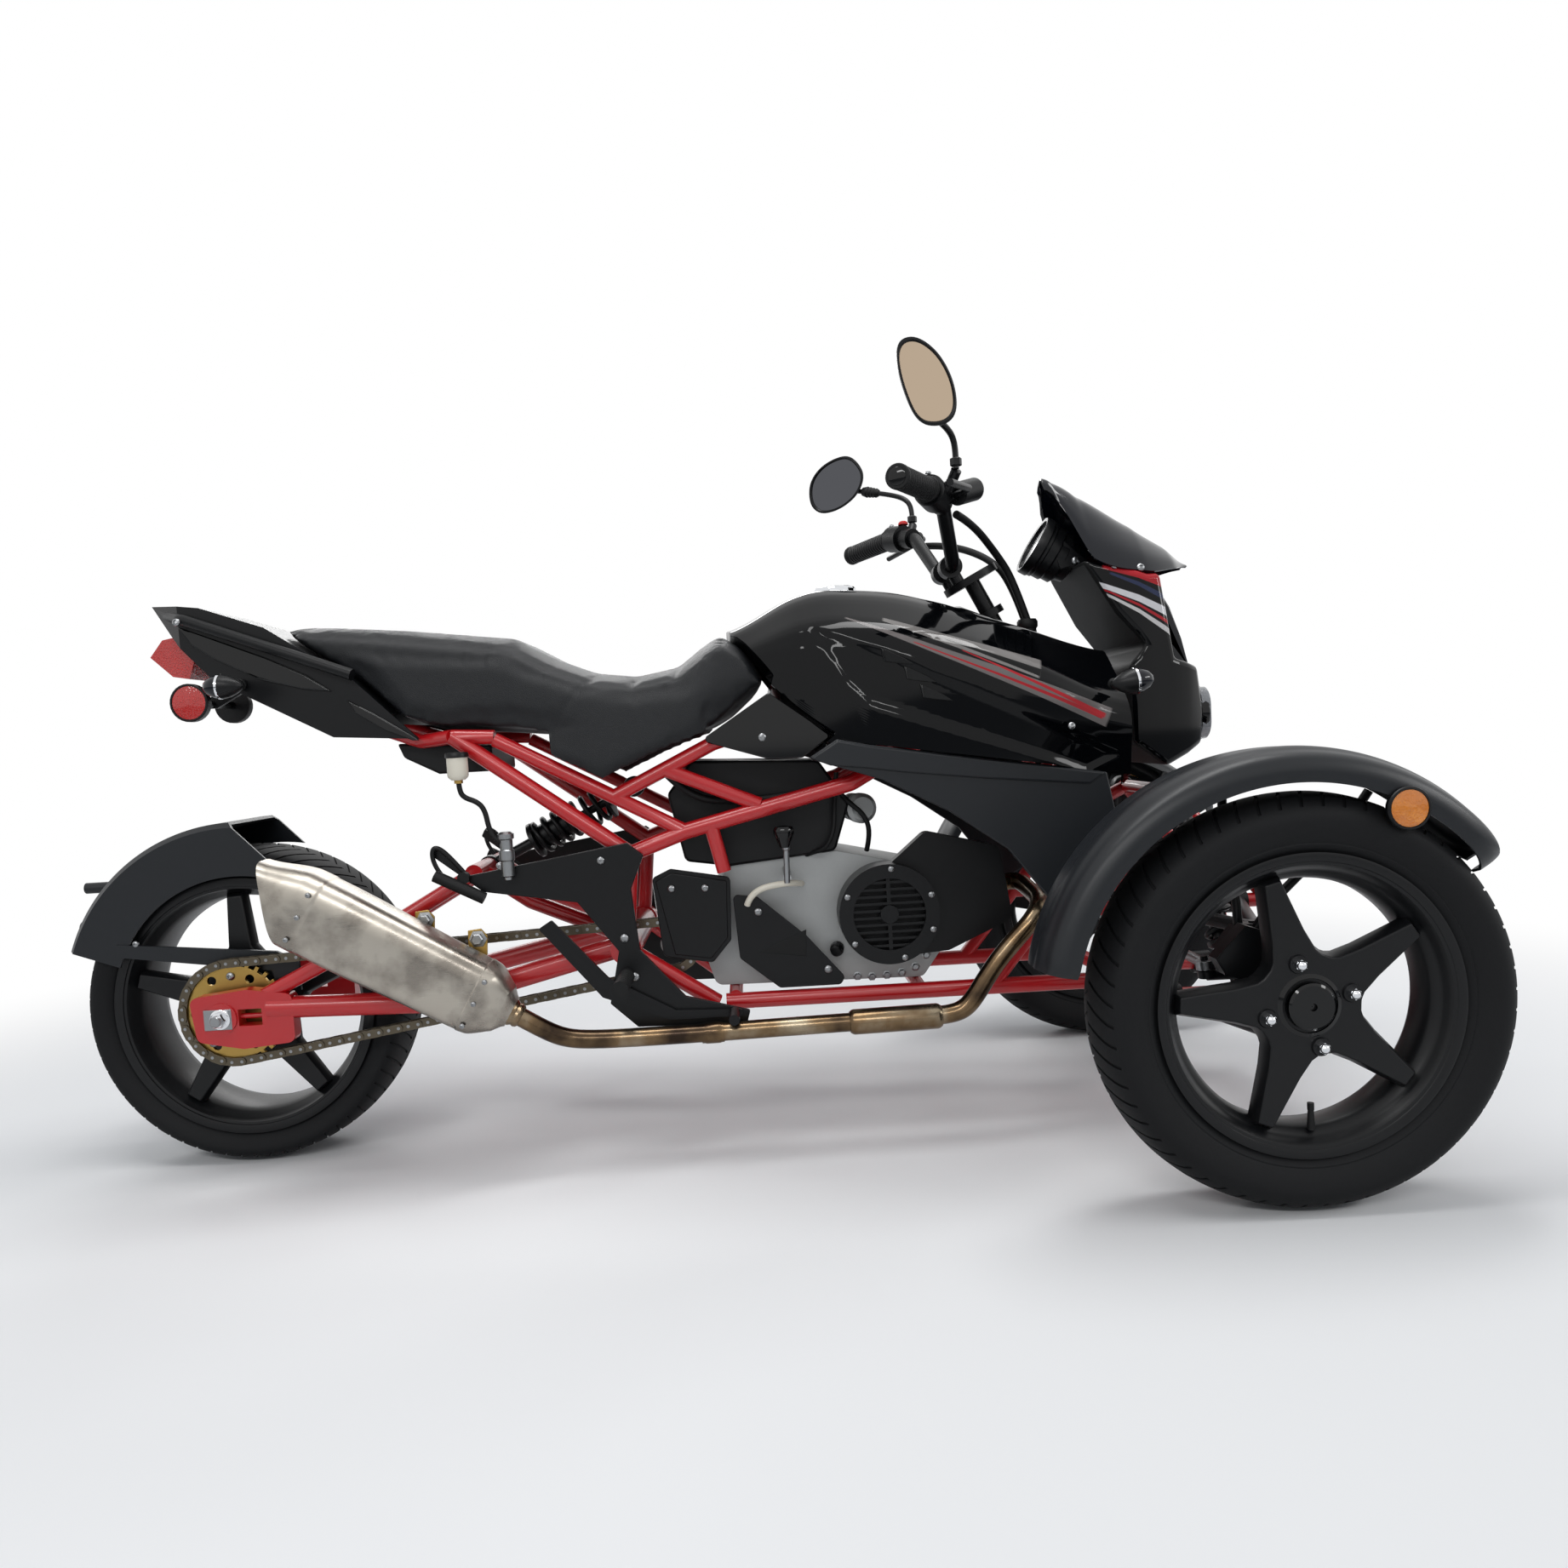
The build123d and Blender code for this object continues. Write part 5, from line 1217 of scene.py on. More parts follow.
def makeMirrors():
    for mirror in mirrorForm:
        hand = mirror["hand"]
        facing = Vector(mirror["facing"]).normalized()
        right = Vector(mirror["top"]).cross(facing).normalized()
        up = facing.cross(right)
        middle = at(*mirror["middle"])
        outline = roundLine([Vector(p) for p in mirror["outline"]], 0.25, 3, True)
        outline.append(outline[0])
        steps = len(mirrorShell) - 1

        def shell(along, around):
            share = along * steps
            index = min(int(share), steps - 1)
            first, second = mirrorShell[index], mirrorShell[index + 1]
            size = first[0] + (second[0] - first[0]) * (share - index)
            depth = first[1] + (second[1] - first[1]) * (share - index)
            point = alongLine(outline, around) * size
            return middle + (right * point.x + up * point.y + facing * depth) / 1000

        def glass(along, around):
            point = alongLine(outline, around) * along * 0.905
            return middle + (right * point.x + up * point.y + facing * (-1.2 - 1.2 * along)) / 1000

        side = "right" if hand < 0 else "left"
        work = shapeSheet(steps * 3, 72, shell)
        bmesh.ops.recalc_face_normals(work, faces=work.faces)
        finishMesh("mirrorShell_" + side, work, "blackPlastic", "handlebar",
                   ("mirrors",) if hand < 0 else (), 40)
        work = shapeSheet(6, 72, glass)
        bmesh.ops.recalc_face_normals(work, faces=work.faces)
        front = max(work.faces, key=lambda f: f.calc_area())
        if front.normal.dot(facing) < 0:
            bmesh.ops.reverse_faces(work, faces=work.faces)
        finishMesh("reflectionPaintedGlass_" + side, work, mirror["glass"], "handlebar", (), 60)
        x, y, z = stemForm["foot"]
        base = at(x, hand * y, z)
        lower = middle + (facing * -14 + right * mirror["neck"][0] + up * mirror["neck"][1]) / 1000
        knee = base + Vector((0, 0, stemForm["height"] / 1000))
        half = base + Vector((0, 0, stemForm["height"] / 2000))
        hosePiece("mirrorStem_" + side, [base, half, knee, knee.lerp(lower, 0.5), lower], stemForm["radius"],
                  "blackEnamel", "handlebar")
        start = lower.lerp(knee, 0.42)
        ringPiece("mirrorBoot_" + side, [(start, lower - start, stemForm["boot"])], "gripRubber", "handlebar")
        ringPiece("mirrorNut_" + side, [(base + Vector((0, 0, 0.01)), (0, 0, 1), stemForm["nut"])],
                  "blackEnamel", "handlebar", (), 6, 20)
    print("mirrors made")


# grips: ribbed rubber sleeves from the control to the bar's end
gripForm = {
    "inner": (1109, 206, 981.7), "outer": (1049, 324, 976.3), "ribs": 15,
    # lever pivots and clamp bolts: place and shank radius
    "bolts": ((1142, 190, 992, 2.6), (1112, 200, 1005, 2.2)),
}


def makeGrips():
    for side, hand in (("right", -1), ("left", 1)):
        inner, outer = (at(x, hand * y, z) for x, y, z in (gripForm["inner"], gripForm["outer"]))
        length = (outer - inner).length * 1000
        profile = [(12, 0.5), (18.6, 0.8), (19, 3), (18.6, 6), (16.2, 8)]
        pitch = (length - 24) / gripForm["ribs"]
        for rib in range(gripForm["ribs"]):
            start = 11 + rib * pitch
            profile += [(15.6, start), (16.9, start + pitch * 0.2), (16.9, start + pitch * 0.72),
                        (15.6, start + pitch * 0.9)]
        profile += [(16.4, length - 10), (17.4, length - 8), (17.4, length - 2), (16, length), (12.2, length),
                    (12, length - 2)]
        ringPiece("grip_" + side, [(inner, outer - inner, profile)], "gripRubber", "handlebar",
                  ("grips",) if hand < 0 else ())
        plug = [(12, length - 3), (12, length + 0.6), (10, length + 1.6), (0.05, length + 1.6)]
        ringPiece("gripPlug_" + side, [(inner, outer - inner, plug)], "glossBlack", "handlebar")
    boltPiece("killSwitch", [(1128, 168, 1001, (0, 0.1, 1), 4.2)], "redButton", "handlebar")
    bolts = [(x, h * y, z, (0, 0, 1), size) for x, y, z, size in gripForm["bolts"] for h in (-1, 1)]
    boltPiece("leverBolts", bolts, "zinc", "handlebar")
    print("grips made")


# bright fastenings: axle plates, washers, nuts and ends, then bolts of the sprocket, brackets and fan
gearForm = {
    "plate": [(-26, 272), (17, 272), (17, 240), (-26, 240)], "plateY": 142.3, "plateThickness": 3.5,
    "axleAt": (145.8, 257),
    "washer": [(15.5, 0), (15.5, 2.2), (14.8, 2.6), (10, 2.6)],
    "nut": [(12.4, 2.6), (12.4, 10.5), (11, 12.5), (8.6, 12.5)],
    "end": [(8.4, 10), (8.4, 17), (7.2, 18.6), (0.05, 18.6)],
    "sprocketCircle": 58, "sprocketY": -102.9, "sprocketBolts": 5, "sprocketTurn": 0.3,
    "brackets": ((448, -161.5, 470, 2.8), (600, -161.5, 470, 2.8), (628, -161.5, 350, 3.2),
                 (692, -161.5, 232, 3.2), (700, -123, 416, 2.8), (752, -123, 414, 2.8),
                 (640, -161.5, 290, 3.4), (832, -120.3, 372, 3.0), (936, -120.3, 276, 3.0)),
    "fanAt": (1035, -128.3, 357), "fanCircle": 71, "fanTurns": (0.4, 1.5, 2.7, 3.8, 5.0, 5.9),
}


def boltCircle(x, y, z, reach, turns, size):
    # bolts that face right, on a circle in the side view
    return [(x + reach * math.cos(t), y, z + reach * math.sin(t), (0, -1, 0), size) for t in turns]


def makeRunningGear():
    work = bmesh.new()
    for hand in (-1, 1):
        corners = [at(x, hand * gearForm["plateY"], z) for x, z in gearForm["plate"]]
        addPlate(work, corners, hand * gearForm["plateThickness"])
    bmesh.ops.recalc_face_normals(work, faces=work.faces)
    bevelPiece(finishMesh("axlePlates", work, "zinc", "chassis"), 1.2, 3)
    out, height = gearForm["axleAt"]
    spots = [(at(0, h * out, height), (0, h, 0)) for h in (-1, 1)]
    ringPiece("axleWashers", [(p, d, gearForm["washer"]) for p, d in spots], "chrome", "chassis")
    ringPiece("axleNuts", [(p, d, gearForm["nut"]) for p, d in spots], "chrome", "chassis", (), 6, 20)
    ringPiece("axleEnds", [(p, d, gearForm["end"]) for p, d in spots], "zinc", "chassis")
    turns = [math.tau * i / gearForm["sprocketBolts"] + gearForm["sprocketTurn"]
             for i in range(gearForm["sprocketBolts"])]
    bolts = boltCircle(0, gearForm["sprocketY"], height, gearForm["sprocketCircle"], turns, 3.2)
    boltPiece("sprocketBolts", bolts, "zinc", "wheel_rear")
    print("running gear made")


def makeFootBolts():
    bolts = [(x, y, z, (0, -1, 0), size) for x, y, z, size in gearForm["brackets"]]
    boltPiece("bracketBolts", bolts, "zinc", "chassis")
    bolts = boltCircle(*gearForm["fanAt"], gearForm["fanCircle"], gearForm["fanTurns"], 2.4)
    boltPiece("fanBolts", bolts, "zinc", "chassis")
    print("bolts made")


# the other CAD nodes and what finishes them: material, bevel in mm
nodeFinish = {
    "sprocket_rear": ("goldZinc", 0.6),
    "trellis_right": ("frameRed", 0), "trellis_left": ("frameRed", 0), "cradle": ("frameRed", 0),
    "swingarm": ("frameRed", 1.0), "engine": ("castAluminium", 4), "fan_shroud": ("blackPlastic", 1.5),
    "airbox": ("blackPlastic", 4),
    "brackets": ("blackEnamel", 2.5), "wishbones": ("blackEnamel", 0.8),
    "knuckle_right": ("blackEnamel", 1), "knuckle_left": ("blackEnamel", 1),
    "steering_column": ("blackEnamel", 1), "handlebar": ("blackEnamel", 0.6),
    "controls": ("blackPlastic", 1.5),
    "tie_rod_right": ("zinc", 0.5), "tie_rod_left": ("zinc", 0.5),
}


def dressFrame():
    for node, (material, width) in nodeFinish.items():
        if node not in remade:
            dressNode(node, material, width)
    missed = set(frame["nodes"]) - remade
    print("frame nodes dressed", len(nodeFinish), "left plain", sorted(missed))


# tail: matte moulding with two gloss blades a side, outlines in mm as x, z
tailForm = {
    "blades": [(-40, 862), (20, 838), (98, 806), (160, 776), (200, 748), (155, 754), (90, 772), (20, 806),
               (-20, 832)],
    "bladeStands": 5, "bladeEdge": 3.5,
    "tips": [(222, 734), (262, 712), (300, 688), (333, 666), (322, 666), (280, 684), (236, 712)],
    "tipStands": 4, "tipEdge": 2.5,
    # half widths of the moulding at three places along it
    "end": (-107, 30), "bend": (-40, 85), "front": (331, 128),
    "railBolt": (-34, 100, 867), "boltSize": 3.0,
}


def tailHalf(x, _height):
    (endX, endHalf), (bendX, bendHalf), (frontX, frontHalf) = (tailForm[k] for k in ("end", "bend", "front"))
    if x > bendX:
        return bendHalf + (frontHalf - bendHalf) * (x - bendX) / (frontX - bendX)
    return endHalf + (bendHalf - endHalf) * (x - endX) / (bendX - endX)


def makeTail():
    dressNode("tail_fairing", "blackPlastic", 5, 30, 3)
    sidePatch("tailBlades", tailForm["blades"], tailHalf, tailForm["bladeStands"], "glossBlack",
              bevel=tailForm["bladeEdge"])
    sidePatch("tailTips", tailForm["tips"], tailHalf, tailForm["tipStands"], "glossBlack",
              bevel=tailForm["tipEdge"])
    x, y, z = tailForm["railBolt"]
    bolts = [(x, h * y, z, (0, h, 0.2), tailForm["boltSize"]) for h in (-1, 1)]
    boltPiece("railBolts", bolts, "zinc", "chassis")
    print("tail made")


# fluid cup, rear brake cylinder, gear lever and pegs; profiles are (radius, height) in mm
footForm = {
    "cupAt": (398, -171.3, 622), "cylinderAt": (462, -171.3, 488),
    "cup": [(0.05, -19), (10, -19), (14.5, -15), (15.5, -12), (15.5, 17), (15, 18)],
    "lid": [(15, 14), (17.5, 15), (17.5, 20), (16, 22.5), (0.05, 22.5)],
    "clamp": [(5.5, -24), (6.4, -24), (6.4, -19), (5.5, -19)],
    "cylinder": [(0.05, -38), (6, -38), (6.5, -34), (9.8, -32), (9.8, -10), (11.5, -8), (11.5, 6), (9.5, 8),
                 (9.5, 22), (12, 24), (12, 31), (8, 34), (0.05, 34)],
    "hose": [(398, -171.3, 604), (398, -171.3, 590), (403, -171.3, 577), (424, -171.3, 569),
             (434, -171.3, 556), (438, -171.3, 528), (446, -171.3, 511), (462, -171.3, 502)],
    "hoseWidth": 8,
    "shaftAt": (879, -166, 450), "shaftLeans": (0.02, -0.1, 1),
    "shaft": [(0.05, -30), (4.5, -30), (4.5, 20), (6, 22), (6, 34), (0.05, 34)],
    "crank": [(880, -76, 430), (882, -110, 425), (880, -140, 424), (879, -163, 428)], "crankRadius": 6,
    "knobAt": (877, -170, 488),
    "knob": [(0.05, -14), (7, -13.5), (9, -8), (13, 1), (15.5, 8), (15.5, 14), (13, 18), (0.05, 19.5)],
    "pegAt": (628, 161.6, 292), "pegRibs": 9, "pegPitch": 9, "pegStart": 8,
    "heelLoop": [(372, 163, 446), (352, 166, 470), (346, 168, 500), (358, 168, 508), (376, 166, 488),
                 (398, 163, 458)],
    "heelRadius": 3.5,
    # solids of foot_controls: the gear lever lies ahead of leverX, the fluid parts behind and above, and
    # the pegs and passenger hooks stand at pegX and hookX
    "leverX": 850, "fluidX": 480, "fluidZ": 500, "pegX": 628, "hookX": 388,
}


def footFinish(middle):
    if middle.x > footForm["leverX"] or (middle.x < footForm["fluidX"] and middle.z > footForm["fluidZ"]):
        return None
    isPeg = any(abs(middle.x - footForm[key]) < 3 for key in ("pegX", "hookX"))
    return "gripRubber" if isPeg else "blackEnamel"


def makeFootControls():
    splitNode("foot_controls", footFinish, 1)
    upright = (0, 0, 1)
    for name, spot, profile, material in (("fluidCup", "cupAt", "cup", "milky"),
                                          ("fluidCupLid", "cupAt", "lid", "blackPlastic"),
                                          ("fluidClamp", "cupAt", "clamp", "goldZinc"),
                                          ("footMaster", "cylinderAt", "cylinder", "zinc")):
        ringPiece(name, [(at(*footForm[spot]), upright, footForm[profile])], material, "chassis")
    cordPiece("fluidHose", footForm["hose"], footForm["hoseWidth"], "gripRubber", "chassis")
    ringPiece("gearShaft", [(at(*footForm["shaftAt"]), footForm["shaftLeans"], footForm["shaft"])], "zinc",
              "chassis")
    hosePiece("gearCrank", [at(*p) for p in footForm["crank"]], footForm["crankRadius"], "zinc", "chassis")
    ringPiece("gearKnob", [(at(*footForm["knobAt"]), upright, footForm["knob"])], "glossBlack", "chassis")
    for side, hand in (("right", -1), ("left", 1)):
        profile = [(0.05, 0), (12, 0), (12, 5)]
        for rib in range(footForm["pegRibs"]):
            start = footForm["pegStart"] + rib * footForm["pegPitch"]
            profile += [(10.6, start), (12, start + 1.5), (12, start + 6), (10.6, start + 7.5)]
        profile += [(12.5, 90), (12.5, 93), (0.05, 93)]
        x, y, z = footForm["pegAt"]
        ringPiece("pegRubber_" + side, [(at(x, hand * y, z), (0, hand, 0), profile)], "gripRubber", "chassis")
        hosePiece("heelLoop_" + side, [at(x, hand * y, z) for x, y, z in footForm["heelLoop"]],
                  footForm["heelRadius"], "blackEnamel", "chassis")
    print("foot controls made")


# coil-over shocks: name, lower eye, upper eye, lower eye's axis, coil radius in mm
shockForm = {
    "rows": [("rear", (395, 0, 455), (640, 0, 572), (0, 1, 0), 27),
             ("right", (1531, -250, 200), (1485, -122, 520), (1, 0, 0), 21),
             ("left", (1531, 250, 200), (1485, 122, 520), (1, 0, 0), 21)],
    "wire": 4.2, "turns": 7, "coilFrom": 0.34, "coilTo": 0.8,
    "eye": [(9, -11), (16, -11), (17, -9), (17, 9), (16, 11), (9, 11), (9, -11)],
}


def springPiece(name, start, end, radius):
    along = (end - start).normalized()
    aside = along.orthogonal().normalized()
    third = along.cross(aside)
    low, high, count = shockForm["coilFrom"], shockForm["coilTo"], shockForm["turns"] * 12
    points = []
    for index in range(count + 1):
        turn = math.tau * index / 12
        share = low + (high - low) * index / count
        outward = aside * math.cos(turn) + third * math.sin(turn)
        points.append(start.lerp(end, share) + outward * radius / 1000)
    return hosePiece(name, points, shockForm["wire"], "blackEnamel", "chassis", (), 6)


def makeShocks():
    stands = ("shocks",)
    for name, low, high, lowAxis, coil in shockForm["rows"]:
        start, end = at(*low), at(*high)
        along = end - start
        length = along.length * 1000
        tube = [(0.05, 14), (9, 14), (9, length * 0.3), (coil - 2, length * 0.3), (coil + 3, length * 0.31),
                (coil + 3, length * 0.33), (coil - 7, length * 0.34), (coil - 7, length * 0.6),
                (6.5, length * 0.62), (6.5, length * 0.8), (coil + 3, length * 0.81),
                (coil + 3, length * 0.83), (12, length * 0.85), (12, length - 14), (0.05, length - 13)]
        ringPiece("shockBody_" + name, [(start, along, tube)], "blackEnamel", "chassis", stands)
        stands = ()
        springPiece("shockSpring_" + name, start, end, coil)
        eyes = [(start, lowAxis, shockForm["eye"]), (end, (0, 1, 0), shockForm["eye"])]
        ringPiece("shockEyes_" + name, eyes, "blackEnamel", "chassis")
    print("shocks made")


# drive chain: plates and rollers round both sprockets, given as x, z and pitch radius
chainForm = {
    "pitch": 15.875, "rear": (0, 257, 78.5), "front": (695, 324, 38.2), "line": -100,
    "plateRadius": 6.6, "plateThickness": 1.4, "innerGap": 5.6, "outerGap": 7.2,
    "roller": [(0.05, -8.4), (2.6, -8.4), (2.6, -5), (5, -5), (5, 5), (2.6, 5), (2.6, 8.4), (0.05, 8.4)],
}


def chainPath():
    # gives the line's length and a function from the way along it to x, z
    (xa, za, ra), (xb, zb, rb) = chainForm["rear"], chainForm["front"]
    span = math.hypot(xb - xa, zb - za)
    slope = math.atan2(zb - za, xb - xa)
    lean = math.acos((ra - rb) / span)
    straight = math.sqrt(span * span - (ra - rb) ** 2)
    top, bottom = slope + lean, slope - lean
    wrapRear, wrapFront = math.tau - 2 * lean, 2 * lean

    def onCircle(x, z, radius, turn):
        return x + radius * math.cos(turn), z + radius * math.sin(turn)

    def between(first, second, share):
        return tuple(a + (b - a) * share for a, b in zip(first, second))

    def path(s):
        s %= total
        if s < straight:
            return between(onCircle(xa, za, ra, top), onCircle(xb, zb, rb, top), s / straight)
        s -= straight
        if s < rb * wrapFront:
            return onCircle(xb, zb, rb, top - s / rb)
        s -= rb * wrapFront
        if s < straight:
            return between(onCircle(xb, zb, rb, bottom), onCircle(xa, za, ra, bottom), s / straight)
        return onCircle(xa, za, ra, bottom - (s - straight) / ra)

    total = 2 * straight + ra * wrapRear + rb * wrapFront
    return total, path


def makeChain():
    total, path = chainPath()
    count = round(total / chainForm["pitch"] / 2) * 2
    thickness = chainForm["plateThickness"]
    plates, rollers = bmesh.new(), bmesh.new()
    for index in range(count):
        ax, az = path(index * total / count)
        bx, bz = path((index + 1) * total / count)
        lean = math.atan2(bz - az, bx - ax)
        outline = []
        for x, z, begin in ((bx, bz, lean - math.pi / 2), (ax, az, lean + math.pi / 2)):
            for step in range(5):
                turn = begin + math.pi * step / 4
                outline.append((x + chainForm["plateRadius"] * math.cos(turn),
                                z + chainForm["plateRadius"] * math.sin(turn)))
        gap = chainForm["innerGap"] if index % 2 else chainForm["outerGap"]
        for side in (-1, 1):
            y = chainForm["line"] + side * gap - thickness / 2
            addPlate(plates, [at(x, y, z) for x, z in outline], thickness)
        addRing(rollers, standAt(at(ax, chainForm["line"], az), (0, 1, 0)), chainForm["roller"], 8)
    for work in (plates, rollers):
        bmesh.ops.recalc_face_normals(work, faces=work.faces)
    finishMesh("chainPlates", plates, "chainSteel", "chassis", ("chain",), 30)
    finishMesh("chainRollers", rollers, "zinc", "chassis", (), 30)
    print("chain made", count, "links")


# pipe from the cylinder head to the muffler; sleeves are start x, end x and radius in mm
pipeForm = {
    "route": [(1223.4, -24, 378.7), (1238, -25, 383), (1258, -30, 386), (1265, -60, 377), (1266, -100, 371),
              (1264, -138, 369), (1256, -166, 360), (1240, -178, 342), (1212, -178, 314), (1182, -178, 280),
              (1158, -178, 244), (1140, -178, 218), (1116, -178, 208), (1060, -178, 207), (900, -178, 204.5),
              (760, -178, 202), (660, -185, 203), (560, -190.5, 204.5), (520, -196, 214), (480, -203, 244),
              (458, -205, 258)],
    "radius": 14, "sleeves": [(965, 1095, 19), (742, 766, 16.4)],
    "run": (760, -178, 202), "rise": 0.016,
    "flangeAt": (1230, -24, 381), "flangeFaces": (0.97, 0, 0.22),
    "flange": [(14, -3), (24, -3), (25, -2), (25, 3), (24, 4), (14, 4)],
}


def makePipe():
    hosePiece("exhaustRun", [at(*p) for p in pipeForm["route"]], pipeForm["radius"], "heatTint", "chassis",
              ("exhaust_pipe",), 14)
    runX, runY, runZ = pipeForm["run"]
    for number, (start, end, radius) in enumerate(pipeForm["sleeves"]):
        low, high = (at(x, runY, runZ + (x - runX) * pipeForm["rise"]) for x in (start, end))
        length = (high - low).length * 1000
        profile = [(14, -5), (15.5, -4.5), (radius - 1, -1), (radius, 2), (radius, length - 2),
                   (radius - 1, length + 1), (15.5, length + 4.5), (14, length + 5)]
        ringPiece("exhaustSleeve%d" % number, [(low, high - low, profile)], "heatTint", "chassis")
    flange = [(at(*pipeForm["flangeAt"]), pipeForm["flangeFaces"], pipeForm["flange"])]
    ringPiece("exhaustFlange", flange, "zinc", "chassis")
    print("pipe made")


# cooling fins, fastenings, hoses and covers of the engine
engineForm = {
    "finsFrom": (1118, 0, 354), "finStep": (11, 2.7), "finCount": 9, "finFaces": (0.97, 0, 0.24),
    "fin": [(50, -1.4), (66, -1.2), (66, 1.2), (50, 1.4)],
    "sumpY": -75, "sumpBolts": [(985, 252), (1008, 250), (1032, 251), (1056, 254), (1078, 262), (1096, 280)],
    "fillerAt": (955, -78, 300), "fillerFaces": (-0.2, -1, -0.2),
    "filler": [(11, 0), (11, 9), (9, 11), (9, 16), (7, 18), (0.05, 18)],
    # name, width, finish and control points
    "hoses": [("breatherHose", 10, "milky", [(816, -124, 384), (820, -130, 396), (838, -134, 410),
                                             (868, -134, 415), (892, -122, 414), (903, -92, 408)]),
              ("starterLead", 7, "gripRubber", [(905, -60, 446), (922, -86, 455), (944, -100, 462),
                                                (958, -103, 490), (960, -100, 530), (966, -98, 580)]),
              ("fuelHose", 8, "gripRubber", [(1010, -70, 452), (1016, -84, 480), (1008, -92, 510),
                                             (985, -96, 530), (968, -84, 550), (965, -70, 568)]),
              ("loomRight", 12, "gripRubber", [(704, -132, 594), (722, -120, 572), (760, -114, 548),
                                               (820, -112, 545), (880, -114, 548), (915, -124, 553),
                                               (930, -134, 555)])],
    "intakeAt": (1000, -52, 520), "intakeFaces": (0.2, -1, 0),
    "intake": [(0.05, -34), (20, -34), (22, -30), (22, -12), (16, -10), (16, 8), (24, 10), (24, 26), (18, 30),
               (0.05, 30)],
    # outline and side of a painted shade patch over the bracket's recess
    "shadePatch": [(830, 308), (905, 340), (903, 298)], "shadePatchY": 120.2,
    "shield": [(676, 428), (702, 440), (786, 423), (783, 334), (756, 303), (700, 312)], "shieldY": 120,
    # left covers: x, z and radius
    "covers": [(1010, 335, 64), (820, 330, 46)], "coverY": 102, "coverBoltY": 110,
    "ribs": [(880, 268), (950, 262), (1100, 262), (1130, 280), (1120, 286), (950, 274), (884, 280)],
}


def flatHalf(key):
    return lambda _x, _z: engineForm[key]


def makeEngineDetail():
    fins = bmesh.new()
    (x, y, z), (stepX, stepZ) = engineForm["finsFrom"], engineForm["finStep"]
    for index in range(engineForm["finCount"]):
        place = at(x + index * stepX, y, z + index * stepZ)
        addRing(fins, standAt(place, engineForm["finFaces"]), engineForm["fin"], 36)
    bmesh.ops.recalc_face_normals(fins, faces=fins.faces)
    finishMesh("cylinderFins", fins, "castAluminium", "chassis")
    boltPiece("sumpBolts", [(x, engineForm["sumpY"], z, (0, -1, 0), 3.0) for x, z in engineForm["sumpBolts"]],
              "zinc", "chassis", flangeBolt)
    filler = [(at(*engineForm["fillerAt"]), engineForm["fillerFaces"], engineForm["filler"])]
    ringPiece("oilFiller", filler, "blackPlastic", "chassis", (), 12, 20)
    for name, width, finish, route in engineForm["hoses"]:
        cordPiece(name, route, width, finish, "chassis")
    intake = [(at(*engineForm["intakeAt"]), engineForm["intakeFaces"], engineForm["intake"])]
    ringPiece("intakeBody", intake, "castAluminium", "chassis")
    # painted shade: a thin near-black rubber patch laid over the bracket's recess, where shade falls
    sidePatch("bracketShadePatch", engineForm["shadePatch"], flatHalf("shadePatchY"), 1.4, "gripRubber", bevel=0.6,
              hands=(-1,))
    sidePatch("shieldRim", engineForm["shield"], flatHalf("shieldY"), 3.0, "blackPlastic", bevel=2.2,
              hands=(-1,))
    # left side: round magneto and clutch covers with their screws
    for number, (x, z, size) in enumerate(engineForm["covers"]):
        cover = [(size + 6, -4), (size + 6, 5), (size + 3, 8), (size, 8), (size - 3, 13), (size - 12, 17),
                 (size * 0.45, 19), (size * 0.42, 16), (0.05, 16)]
        ringPiece("sideCover%d" % number, [(at(x, engineForm["coverY"], z), (0, 1, 0), cover)],
                  "castAluminium", "chassis", (), 64)
        turns = [math.tau * (turn + 0.5) / 6 for turn in range(6)]
        reach = size + 2
        bolts = [(x + reach * math.cos(t), engineForm["coverBoltY"], z + reach * math.sin(t), (0, 1, 0), 2.8)
                 for t in turns]
        boltPiece("sideCoverBolts%d" % number, bolts, "zinc", "chassis", flangeBolt)
    sidePatch("caseRibs", engineForm["ribs"], flatHalf("coverY"), 5, "castAluminium", bevel=2, hands=(1,))
    print("engine details made")


# the lower shroud's raised upper band, and three vents in the tank's facet
trimForm = {
    "band": [(922, 606), (962, 630), (1010, 619), (1115, 601), (1260, 577), (1352, 561), (1330, 546),
             (1180, 562), (1060, 578), (1000, 588), (950, 594)],
    "bandHalf": 196, "bandStands": 5,
    "ventsAt": ((1036, 750), (1068, 722), (1090, 694)),
    "vent": [(-2, 10), (4, 8), (30, -6), (44, -16), (22, -13), (2, -9)], "ventStands": 3,
    "lip": [(-4, 11), (-1, 10), (3, -9), (0, -8)], "lipStands": 4.5,
}


def makeShroudTrim():
    sidePatch("shroudBands", trimForm["band"], lambda _x, _z: trimForm["bandHalf"], trimForm["bandStands"],
              "satinPlastic", bevel=3.5)
    for number, (ventX, ventZ) in enumerate(trimForm["ventsAt"]):
        vent, lip = ([(ventX + x, ventZ + z) for x, z in trimForm[key]] for key in ("vent", "lip"))
        sidePatch("tankVent%d" % number, vent, facetHalf, trimForm["ventStands"], "gripRubber", bevel=1,
                  sunk=1)
        sidePatch("tankVentLip%d" % number, lip, facetHalf, trimForm["lipStands"], "glossBlack", bevel=0.8,
                  sunk=1)
    print("shroud trim made")


